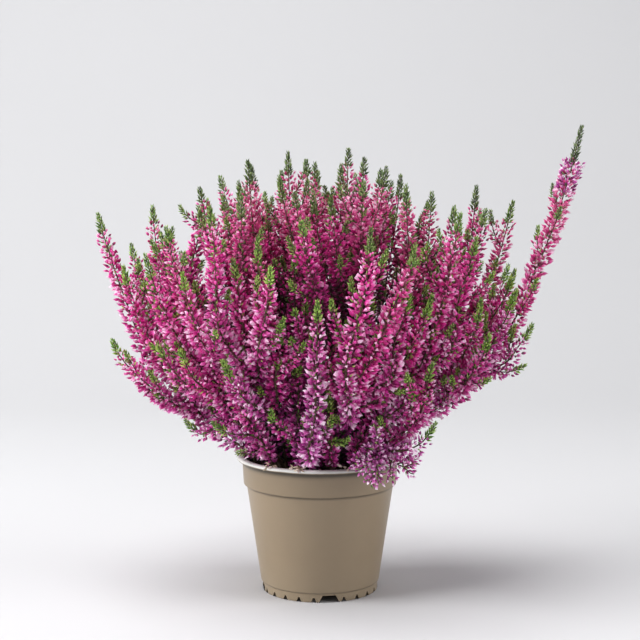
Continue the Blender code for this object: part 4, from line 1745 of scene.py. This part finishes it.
@dataclass
class Heather:
    """The plant: for each stem its wood, and the florets and leaves of its spray.

    Half widths, half depths, tones and greens are given against height, as (height, value) pairs.
    """

    growth: Growth
    petals: bpy.types.Material
    leaves: bpy.types.Material
    bark: bpy.types.Material
    seed: int = 23
    half_widths: Pairs = ((0.085, 0.050), (0.12, 0.085), (0.17, 0.125), (0.22, 0.145))
    half_depths: Pairs = ((0.085, 0.050), (0.12, 0.068), (0.17, 0.085), (0.22, 0.095))
    tones: Pairs = ((0.090, 1.00), (0.120, 0.84), (0.150, 0.66), (0.200, 0.46), (0.270, 0.14))
    greens: Pairs = ((0.095, 0.70), (0.130, 1.00), (0.215, 0.95), (0.285, 0.12))
    dome_height: float = 0.20
    flowering_from: float = 0.40
    flowering_over: float = 0.30
    least_share: float = 0.30
    light_from: float = 0.52
    light_over: float = 0.34
    behind_reach: float = 0.10
    behind_tone: float = 0.10
    tone_draw: float = 0.22
    least_green: float = 0.30
    most_outside: float = 0.001
    floret: FloretRule = FloretRule()
    scale: LeafRule = LeafRule()
    tip: TipRule = TipRule()
    tip_length: float = 0.0135
    tip_lengths: Pair = (0.75, 1.3)
    tip_overlap: float = 0.9
    leader_tip_length: float = 0.026
    leader_height: float = 0.30
    clump_length: float = 0.022
    clump_radius: float = 0.0072
    clump_draw: float = 4.0
    clump_rounds: int = 2
    first_floret: float = 0.007
    forked_floret: float = 0.003
    basal_floret: float = 0.004
    twig_radius: float = 0.0010
    twig_end_radius: float = 0.0003
    stem_foot: float = 0.8
    knots: Pair = (0.86, 1.12)
    side_spacing: float = 0.018
    side_spacings: Pair = (0.7, 1.3)
    side_start: Pair = (0.1, 0.8)
    side_length: Pair = (0.015, 0.029)
    side_radius: float = 0.0044
    side_taper: Pair = (1.15, 0.85)
    side_tip_length: float = 0.0095
    side_tip_lengths: Pair = (0.8, 1.2)
    side_tip_size: float = 0.85
    most_tip: float = 0.45
    side_points: int = 9
    side_lean: Pair = (0.40, 0.75)
    side_reach: float = 0.3
    side_rise: float = 0.12
    side_pulls: Pair = (0.42, 0.38)
    side_along: float = 0.8
    side_out: float = 0.35
    side_up: float = 0.5
    outer_part: float = 0.80
    outer_turn: float = 0.2
    side_end_gap: float = 0.014
    drooping_spacing: float = 0.0045
    drooping_ends: Pair = (0.010, 0.004)
    rim_gap: float = 0.006
    basal_shoots: int = 26
    basal_turn: float = 0.3
    basal_ring: Pair = (0.018, 0.034)
    basal_length: Pair = (0.030, 0.070)
    basal_lean: Pair = (0.10, 0.42)
    basal_pulls: Pair = (0.40, 0.35)
    basal_tip_lengths: Pair = (0.9, 1.4)
    basal_tip_size: float = 0.9
    filler_inward: float = 0.7
    filler_pull: float = 0.4
    filler_radii: Pairs = ((0.0, 0.003), (0.15, 0.0062), (0.7, 0.0066), (1.0, 0.0045))
    filler_ends: Pair = (0.030, 0.020)
    filler_tip: float = 0.5
    filler_tips: tuple = (
        (-0.016, -0.062, 0.226),
        (-0.009, -0.068, 0.200),
        (-0.024, -0.066, 0.186),
        (-0.032, -0.058, 0.216),
        (0.028, -0.034, 0.158),
        (0.036, -0.020, 0.172),
        (0.056, -0.026, 0.196),
        (0.042, 0.018, 0.204),
        (0.050, -0.008, 0.214),
        (-0.028, 0.050, 0.200),
        (-0.056, 0.022, 0.190),
        (0.002, 0.052, 0.190),
        (0.030, 0.048, 0.184),
        (-0.045, -0.012, 0.196),
        (0.062, 0.005, 0.236),
        (0.072, -0.028, 0.222),
        (0.045, -0.040, 0.188),
        (-0.070, -0.022, 0.214),
        (-0.054, 0.034, 0.222),
        (-0.034, 0.004, 0.250),
        (0.022, 0.004, 0.256),
    )

    def __post_init__(self) -> None:
        """Grows the shoots and models the templates."""
        self.sprays, self.shoots = self.growth.grow()
        self.place = np.array(self.growth.pot.place)
        self.rng = random.Random(self.seed)
        self.buds = {form: bud(form) for form in BudForm}
        self.leaf = leaf()
        self.check()

    def check(self) -> None:
        """Stops if the shoots don't end inside their own solids' boxes."""
        for number in range(len(self.sprays)):
            low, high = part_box(f"spray_{number + 1:02d}")
            for shoot in self.shoots:
                if shoot.spray == number:
                    tip = Vector(shoot.path[-1] + self.place)
                    outside = max(*(low - tip), *(tip - high))
                    if outside > self.most_outside:
                        raise ValueError(f"a shoot ends {outside:.4f} m outside spray {number + 1}")

    @staticmethod
    def at_height(pairs: Pairs, height: float) -> float:
        """The value that (height, value) pairs give at a height."""
        return float(np.interp(height, *zip(*pairs)))

    def outwardness(self, centre: Vector) -> float:
        """How far out a place lies in the plant, from 0 in its middle to 1 at its outside."""
        across = (centre.x - self.place[0]) / self.at_height(self.half_widths, centre.z)
        depth = (centre.y - self.place[1]) / self.at_height(self.half_depths, centre.z)
        high = (centre.z - self.growth.crown_height) / self.dome_height
        return max(math.hypot(across, depth), high)

    def share_of(self, centre: Vector) -> float:
        """How thickly the plant flowers at a place, less inside where no light comes."""
        return clamp((self.outwardness(centre) - self.flowering_from) / self.flowering_over, self.least_share)

    def light_of(self, centre: Vector) -> float:
        """How lit a place is taken to be, from 0 in the middle to 1 at the outside; florets and leaves are
        painted darker where it is low, as painted shade.
        """
        return clamp((self.outwardness(centre) - self.light_from) / self.light_over)

    def tone_of(self, centre: Vector, draw: float) -> float:
        """Says which tone the florets have at a place.

        Args:
            centre: The place.
            draw: The shoot's own draw, from -1 to 1.

        Returns:
            From 0, dusty rose, through magenta to 1, lilac.
        """
        behind = clamp((centre.y - self.place[1]) / self.behind_reach)
        return clamp(self.at_height(self.tones, centre.z) - self.behind_tone * behind + self.tone_draw * draw)

    def green_of(self, centre: Vector) -> float:
        """Says how fresh the green is at a place, from 0, grey-green, to 1, yellow-green: by height, and less
        towards the middle of the plant as painted shade.
        """
        # Painted shade: the green is dulled where the place is less lit.
        lit = self.least_green + (1 - self.least_green) * self.light_of(centre)
        return self.at_height(self.greens, centre.z) * lit

    def nearest_spray(self, x: float, y: float) -> int:
        """The number of the spray whose stem stands nearest to a place round the pot's axis."""
        return int(np.argmin([math.hypot(x - spray.hole[0], y - spray.hole[1]) for spray in self.sprays]))

    def florets(self, cluster: Cluster, strand: Strand, start: float, end: float, draw: float) -> None:
        """Sets florets round a strand.

        Args:
            cluster: Where they are gathered.
            strand: What they grow on.
            start: Where along it they begin.
            end: Where they end.
            draw: The strand's own draw of tone.
        """
        rng, rule = self.rng, self.floret
        turn = rng.uniform(0, math.tau)
        station = start
        while station < end:
            centre, tangent, side, across, room = strand.at(station)
            turn += GOLDEN_ANGLE + rng.uniform(-rule.turn_draw, rule.turn_draw)
            out = outward(turn, side, across)
            age = clamp((end - station) / rule.young_reach)
            grown = rule.young_length + (1 - rule.young_length) * age
            length = rule.length * grown * rng.uniform(*rule.lengths)
            grown = rule.young_width + (1 - rule.young_width) * age
            width = rule.width * grown * rng.uniform(*rule.widths)
            lift = rng.uniform(*rule.lifts) + rule.young_lift * (1 - age)
            layers = rule.outer_layer if rng.random() < rule.outer_share else rule.inner_layer
            layer = rng.uniform(*layers)
            reach = max(room, rule.least_reach) * layer + rule.stand_off
            root = centre + out * max(reach - length * math.cos(lift), rule.least_root)
            slim, *fuller = rule.forms
            form = rng.choices(list(BudForm), (slim + rule.young_slimness * (1 - age), *fuller))[0]
            # Painted shade: florets inside the plant, and those set close to the strand's axis, get darker
            # tints.
            dim = 1.0 - self.light_of(centre)
            tint = rng.betavariate(*rule.tint_curve) * (1.0 - rule.shading * dim)
            tint *= min(1.0, rule.layer_shading[0] + rule.layer_shading[1] * layer)
            tint += rule.least_tint - rule.shade * dim
            place = standing(root, lifted(out, tangent, lift), rng.uniform(0, math.tau), width, length)
            cluster.add(self.buds[form], place, tint, self.tone_of(centre, draw))
            crowd = rule.per_metre * self.share_of(centre) * max(room / rule.full_room, rule.least_crowd)
            station += rng.uniform(*rule.spacings) / crowd

    def scale_leaves(self, cluster: Cluster, strand: Strand, start: float, end: float) -> None:
        """Sets small leaves among the florets of a strand, more of them inside the plant.

        Args:
            cluster: Where they are gathered.
            strand: What they grow on.
            start: Where along it they begin.
            end: Where they end.
        """
        rng, rule = self.rng, self.scale
        station = start
        while station < end:
            centre, tangent, side, across, room = strand.at(station)
            turn = rng.uniform(0, math.tau)
            out = outward(turn, side, across)
            lift = rng.uniform(*rule.lifts)
            length = rule.length * rng.uniform(*rule.lengths)
            reach = room * rng.uniform(*rule.depths) - length * math.cos(lift)
            root = centre + out * max(reach, rule.least_root)
            place = standing(root, lifted(out, tangent, lift), turn, rule.width, length)
            # Painted shade: leaves inside the plant get darker tints.
            tint = rng.random() * self.light_of(centre)
            cluster.add(self.leaf, place, tint, rule.green * self.green_of(centre))
            crowd = rule.per_metre * (rule.crowd_inside - rule.crowd_fall * self.share_of(centre))
            station += rng.uniform(*rule.spacings) / crowd

    def leafy_tip(self, cluster: Cluster, strand: Strand, length: float, size: float) -> None:
        """Clothes the end of a strand in leaves that lie close and open a little towards their points.

        Args:
            cluster: Where they are gathered.
            strand: What they grow on.
            length: How long the leafy end is.
            size: How large it is beside a full one.
        """
        rng, rule = self.rng, self.tip
        turn = rng.uniform(0, math.tau)
        fresh = self.green_of(strand.at(strand.length)[0])
        green = clamp(fresh + rng.uniform(-rule.green_draw, rule.green_draw))
        station = strand.length - length
        while station < strand.length:
            centre, tangent, side, across, _ = strand.at(station)
            turn += GOLDEN_ANGLE
            out = outward(turn, side, across)
            left = (strand.length - station) / length
            slim = rule.end_size + (1 - rule.end_size) * math.sqrt(left)
            lift = rng.uniform(*rule.lifts) + rule.end_lift * (1 - left)
            root = centre + out * rule.stand_off * slim * size
            leaf_size = size * slim * rng.uniform(*rule.sizes)
            width, height = rule.width * leaf_size, rule.length * leaf_size
            place = standing(root, lifted(out, tangent, lift), turn, width, height)
            cluster.add(self.leaf, place, rng.uniform(*rule.tints), green)
            station += rng.uniform(*rule.spacings) / rule.per_metre

    def clothe(
        self, parts: SprayParts, strand: Strand, start: float, tip_length: float, size: float, draw: float
    ) -> None:
        """Clothes a strand in florets and leaves.

        Args:
            parts: Where they are gathered.
            strand: What they grow on.
            start: Where along it they begin.
            tip_length: How long its leafy tip is, nothing where it flowers to its end.
            size: How large the leafy tip is beside a full one.
            draw: The strand's own draw of tone.
        """
        end = strand.length - self.tip_overlap * tip_length
        self.florets(parts.florets, strand, start, end, draw)
        self.scale_leaves(parts.leaves, strand, start, end)
        if tip_length:
            self.leafy_tip(parts.leaves, strand, tip_length, size)

    def side_shoot(self, parent: Strand, station: float) -> Strand:
        """Grows a short side shoot out of a shoot.

        Args:
            parent: The shoot that it leaves.
            station: Where along that shoot it leaves.

        Returns:
            The side shoot's strand.
        """
        rng = self.rng
        centre, tangent, side, across, room = parent.at(station)
        out = outward(rng.uniform(0, math.tau), side, across)
        away = Vector((centre.x - self.place[0], centre.y - self.place[1], 0)).normalized()
        if self.outwardness(centre) > self.outer_part and out.dot(away) > self.outer_turn:
            out = -out
        length = min(rng.uniform(*self.side_length), parent.length - station)
        lean = rng.uniform(*self.side_lean)
        aside = length * math.sin(lean) + self.side_reach * room
        tip = centre + tangent * length * math.cos(lean) + out * aside
        tip += Vector((0, 0, self.side_rise * length))
        first = centre + (out + self.side_along * tangent).normalized() * self.side_pulls[0] * length
        arriving = (self.side_out * out + tangent + Vector((0, 0, self.side_up))).normalized()
        second = tip - arriving * self.side_pulls[1] * length
        return self.short_strand(centre, first, second, tip)

    def short_strand(self, start: Vector, first: Vector, second: Vector, tip: Vector) -> Strand:
        """Draws the strand of a short shoot.

        Args:
            start: Where it starts.
            first: The control point that it sets out towards.
            second: The control point that it arrives from.
            tip: Where it ends.

        Returns:
            The strand, slimmer at its tip.
        """
        line = bezier(*(np.array(point) for point in (start, first, second, tip)), self.side_points)
        pot = self.growth.pot
        mouth = pot.inner_radius(pot.height) - self.rim_gap
        level = line[:, :2] - self.place[:2]
        around = np.hypot(*level.T)
        held = (line[:, 2] < pot.height + self.rim_gap) & (around > mouth)
        if around[0] < mouth:
            line[held, :2] = self.place[:2] + level[held] * (mouth / around[held])[:, None]
        return Strand(line, self.side_radius * np.linspace(*self.side_taper, len(line)))

    def basal_shoot(self, number: int) -> tuple[int, Strand]:
        """Grows a short shoot straight out of the soil, leaning out over the rim.

        Args:
            number: Which of the basal shoots it is.

        Returns:
            The spray that it belongs to, and its strand.
        """
        rng = self.rng
        turn = number * GOLDEN_ANGLE + rng.uniform(-self.basal_turn, self.basal_turn)
        around = rng.uniform(*self.basal_ring)
        out, up = Vector((math.cos(turn), math.sin(turn), 0)), Vector((0, 0, 1))
        foot = around * out + self.growth.pot.soil_top * up
        length = rng.uniform(*self.basal_length)
        lean = rng.uniform(*self.basal_lean) * around / self.basal_ring[1]
        tip = foot + length * (math.sin(lean) * out + math.cos(lean) * up)
        first = foot + self.basal_pulls[0] * length * up
        second = tip - self.basal_pulls[1] * length * (math.sin(lean) * out + up)
        points = (point + Vector(self.place) for point in (foot, first, second, tip))
        return self.nearest_spray(foot.x, foot.y), self.short_strand(*points)

    def filler_shoot(self, tip: tuple[float, float, float]) -> tuple[int, Strand]:
        """Grows a shoot from the soil up through a gap between the sprays.

        Args:
            tip: Where it ends, measured from the pot's axis.

        Returns:
            The spray that it belongs to, and its strand.
        """
        inward = min(self.filler_inward, self.basal_ring[1] / math.hypot(tip[0], tip[1]))
        foot = np.array([inward * tip[0], inward * tip[1], self.growth.pot.soil_top])
        end = np.array(tip)
        pull = self.filler_pull * (end[2] - foot[2]) * UP
        line = bezier(foot, foot + pull, end - pull, end, self.growth.path_points)
        radii = np.interp(np.linspace(0, 1, len(line)), *zip(*self.filler_radii))
        return self.nearest_spray(tip[0], tip[1]), Strand(line + self.place, radii)

    def drawn(self, lines: list[tuple[np.ndarray, np.ndarray]], rounding: int) -> bpy.types.Mesh:
        """Draws twigs along lines.

        Args:
            lines: The points of each twig with the radius at each.
            rounding: How far a twig's section is rounded, from 0 for a square one.

        Returns:
            The twigs as one mesh.
        """
        curve = bpy.data.curves.new("twigs", "CURVE")
        curve.dimensions = "3D"
        curve.bevel_depth = 1.0
        curve.bevel_resolution = rounding
        curve.use_fill_caps = True
        for points, radii in lines:
            spline = curve.splines.new("POLY")
            spline.points.add(len(points) - 1)
            spline.points.foreach_set("co", np.column_stack([points, np.ones(len(points))]).ravel())
            spline.points.foreach_set("radius", radii)
        obj = linked("twigs", curve)
        mesh = evaluated(obj)
        bpy.data.objects.remove(obj, do_unlink=True)
        return mesh

    def wood(self, name: str, parts: SprayParts) -> bpy.types.Object:
        """Makes a spray's stem and twigs one piece of wood.

        Args:
            name: The object's name.
            parts: What was gathered for the spray.

        Returns:
            The wood, at the origin.
        """
        shape = bmesh.new()
        for lines, rounding in ((parts.stems, 1), (parts.twigs, 0)):
            if lines:
                shape.from_mesh(self.drawn(lines, rounding))
        mesh = mesh_of(name, shape)
        mesh.shade_smooth()
        return linked(name, mesh, self.bark)

    def stem_line(self, spray: Spray, strand: Strand) -> tuple[np.ndarray, np.ndarray]:
        """Runs a spray's first shoot down into its hole in the soil, knotted where it is bare.

        Args:
            spray: The spray.
            strand: Its first shoot.

        Returns:
            The points of the stem and the radius at each.
        """
        foot = strand.path[0] - (self.growth.pot.hole_depth - 2 * self.growth.pot.gap) * UP
        points = np.vstack([foot[None], strand.path])
        past_bare = np.clip((strand.run - spray.bare) / (strand.length - spray.bare), 0, 1)
        radii = self.twig_radius + (self.twig_end_radius - self.twig_radius) * past_bare
        thick = spray.stem_radius * np.linspace(1.0, 0.9, len(radii))
        radii = np.where(strand.run < spray.bare, thick, radii)
        radii = np.concatenate([[self.stem_foot * spray.stem_radius], radii])
        return points, radii * np.array([self.rng.uniform(*self.knots) for _ in radii])

    def twig_line(self, strand: Strand, thickness: float, step: int) -> tuple[np.ndarray, np.ndarray]:
        """The points of a twig along a strand, every so many of them, and the radius at each."""
        points = strand.path[::step]
        return points, np.linspace(thickness * self.twig_radius, self.twig_end_radius, len(points))

    def grow_side_shoots(
        self, parts: SprayParts, strand: Strand, reach: Pair, spacing: float, tip: float, draw: float
    ) -> None:
        """Grows the side shoots of a shoot and clothes them.

        Args:
            parts: Where they are gathered.
            strand: The shoot.
            reach: Where along it they begin and end.
            spacing: How far apart they are where the plant is thickest.
            tip: How long their leafy tips are.
            draw: The shoot's own draw of tone.
        """
        rng = self.rng
        station = reach[0] + spacing * rng.uniform(*self.side_start)
        while station < reach[1]:
            side = self.side_shoot(strand, station)
            tip_length = min(tip * rng.uniform(*self.side_tip_lengths), self.most_tip * side.length)
            self.clothe(parts, side, self.forked_floret, tip_length, self.side_tip_size, draw)
            parts.twigs.append(self.twig_line(side, thickness=0.5, step=2))
            station += spacing * rng.uniform(*self.side_spacings) / self.share_of(strand.at(station)[0])

    def flower_clump(self, parts: SprayParts, strand: Strand) -> None:
        """Thickens the flowers under the leading shoot's long leafy tip.

        Args:
            parts: Where they are gathered.
            strand: The leading shoot.
        """
        end = strand.length - self.tip_overlap * self.leader_tip_length
        wide = Strand(strand.path, np.full(len(strand.path), self.clump_radius))
        for _ in range(self.clump_rounds):
            self.florets(parts.florets, wide, end - self.clump_length, end, self.clump_draw)

    def clothe_shoot(self, parts: SprayParts, spray: Spray, shoot: Shoot) -> None:
        """Clothes a shoot of a spray, and grows its side shoots.

        Args:
            parts: Where they are gathered.
            spray: The spray.
            shoot: The shoot.
        """
        rng = self.rng
        strand = Strand(shoot.path + self.place, shoot.radii)
        draw = rng.uniform(-1, 1)
        tip_length = self.tip_length * rng.uniform(*self.tip_lengths)
        if strand.path[-1][2] > self.leader_height:
            tip_length = self.leader_tip_length
            self.flower_clump(parts, strand)
        start = self.first_floret if shoot.leader is None else self.forked_floret
        if shoot.path[-1][2] < self.growth.droop_below:
            tip_length = 0.0
            reach = (self.drooping_ends[0], strand.length - self.drooping_ends[1])
            self.grow_side_shoots(parts, strand, reach, self.drooping_spacing, 0.0, draw)
        elif spray.habit is Habit.DOME:
            reach = (start, strand.length - tip_length - self.side_end_gap)
            self.grow_side_shoots(parts, strand, reach, self.side_spacing, self.side_tip_length, draw)
        self.clothe(parts, strand, start, tip_length, 1.0, draw)
        if shoot.leader is None:
            parts.stems.append(self.stem_line(spray, strand))
        else:
            parts.twigs.append(self.twig_line(strand, thickness=0.8, step=2))

    def clothe_basal(self, parts: SprayParts, strand: Strand) -> None:
        """Clothes a shoot that stands in the soil by itself, with side shoots where it is a long one.

        Args:
            parts: Where they are gathered.
            strand: The shoot's strand.
        """
        rng = self.rng
        tip_length = self.side_tip_length * rng.uniform(*self.basal_tip_lengths)
        draw = rng.uniform(-1, 1)
        if strand.length > self.basal_length[1]:
            reach = (self.filler_ends[0], strand.length - self.filler_ends[1])
            tip = self.filler_tip * self.side_tip_length
            self.grow_side_shoots(parts, strand, reach, self.side_spacing, tip, draw)
        self.clothe(parts, strand, self.basal_floret, tip_length, self.basal_tip_size, draw)
        parts.twigs.append(self.twig_line(strand, thickness=1.0, step=1))

    def gather(self, number: int, basal: list[tuple[int, Strand]]) -> SprayParts:
        """Clothes every shoot of a spray.

        Args:
            number: Which spray it is, from 0.
            basal: All the basal and filler shoots with the sprays that they belong to.

        Returns:
            What was gathered.
        """
        parts = SprayParts()
        for shoot in self.shoots:
            if shoot.spray == number:
                self.clothe_shoot(parts, self.sprays[number], shoot)
        for owner, strand in basal:
            if owner == number:
                self.clothe_basal(parts, strand)
        return parts

    def build(self) -> None:
        """Builds every spray."""
        basal = [self.basal_shoot(number) for number in range(self.basal_shoots)]
        basal += [self.filler_shoot(tip) for tip in self.filler_tips]
        for number in range(len(self.sprays)):
            name = f"{number + 1:02d}"
            parts = self.gather(number, basal)
            dress(parts.florets.piece(f"florets_{name}", self.petals), "heather_flowers", f"spray_{name}")
            dress(parts.leaves.piece(f"leaves_{name}", self.leaves), "")
            dress(self.wood(f"wood_{name}", parts), "heather_wood", f"stem_{name}")


@dataclass(frozen=True)
class Softbox:
    """A soft light: its place, its width and height, and its power in watts."""

    name: str
    place: tuple[float, float, float]
    size: Pair
    power: float


@dataclass
class Studio:
    """The pale sweep, the soft lights and the camera."""

    pot: PotSizes
    camera_distance: float = 1.0
    camera_height: float = 0.29
    camera_pitch: float = math.radians(-6.3)
    lens: float = 86.0
    sweep_width: float = 6.0
    sweep_front: float = -2.5
    sweep_back: float = 1.6
    sweep_radius: float = 0.9
    sweep_height: float = 3.0
    sweep_steps: int = 16
    softboxes: tuple[Softbox, ...] = (
        Softbox("left_softbox", (-1.70, -0.45, 0.80), (1.1, 1.3), 38.0),
        Softbox("right_softbox", (1.75, -0.45, 0.70), (0.9, 1.3), 17.0),
        Softbox("top_softbox", (-0.3, -0.15, 1.9), (1.3, 1.1), 30.0),
    )
    lit_height: float = 0.12
    room_colour: Colour = (0.95, 0.95, 1.0)
    room_strength: float = 0.22

    def sweep(self) -> None:
        """Builds the floor that curves up into a backdrop."""
        shape = bmesh.new()
        radius = self.sweep_radius
        start = self.sweep_back - radius
        side = [(self.sweep_front, 0.0)]
        for step in range(self.sweep_steps + 1):
            turn = math.pi / 2 * step / self.sweep_steps
            side.append((start + radius * math.sin(turn), radius * (1 - math.cos(turn))))
        side.append((self.sweep_back, self.sweep_height))
        points = [shape.verts.new((-self.sweep_width / 2, y, z)) for y, z in side]
        edges = [shape.edges.new(pair) for pair in zip(points, points[1:])]
        grown = bmesh.ops.extrude_edge_only(shape, edges=edges)["geom"]
        bmesh.ops.translate(shape, verts=verts_in(grown), vec=(self.sweep_width, 0, 0))
        bmesh.ops.recalc_face_normals(shape, faces=shape.faces)
        mesh = mesh_of("studio_sweep", shape)
        mesh.shade_smooth()
        obj = linked("studio_sweep", mesh, StudioFinish().build())

    def light(self, softbox: Softbox) -> None:
        """Adds a soft light that faces the plant.

        Args:
            softbox: The light.
        """
        lamp = bpy.data.lights.new(softbox.name, "AREA")
        lamp.shape = "RECTANGLE"
        lamp.size, lamp.size_y = softbox.size
        lamp.energy = softbox.power
        obj = linked(softbox.name, lamp)
        obj.location = softbox.place
        towards = Vector((0, 0, self.lit_height)) - Vector(softbox.place)
        obj.rotation_euler = towards.to_track_quat("-Z", "Y").to_euler()

    def lights(self) -> None:
        """Adds the soft lights and the even light of the room."""
        for softbox in self.softboxes:
            self.light(softbox)
        world = bpy.data.worlds.new("room")
        bpy.context.scene.world = world
        world.use_nodes = True
        background = world.node_tree.nodes["Background"]
        background.inputs["Color"].default_value = (*self.room_colour, 1.0)
        background.inputs["Strength"].default_value = self.room_strength

    def camera(self) -> None:
        """Stands the camera where the photograph was taken from, with a longer lens."""
        lens = bpy.data.cameras.new("camera")
        lens.lens = self.lens
        obj = linked("camera", lens)
        x, y, _ = self.pot.place
        obj.location = (x, y - self.camera_distance, self.camera_height)
        obj.rotation_euler = (math.pi / 2 + self.camera_pitch, 0, 0)
        bpy.context.scene.camera = obj

    def build(self) -> None:
        """Builds the whole studio."""
        self.sweep()
        self.lights()
        self.camera()
        bpy.context.scene.view_settings.view_transform = "Standard"


def main() -> None:
    """Builds the pot, the soil, the plant and the studio."""
    logging.basicConfig(level=logging.INFO, format="%(message)s")
    sizes = PotSizes()
    petals = PetalFinish().build()
    leaves = LeafFinish().build()
    bark = BarkFinish().build()
    NurseryPot(sizes, PlasticFinish().build()).build()
    PottingMix(sizes, SoilFinish().build(), bark, HuskFinish().build()).build()
    Heather(Growth(sizes), petals, leaves, bark).build()
    Studio(sizes).build()


if __name__ == "__main__":
    main()
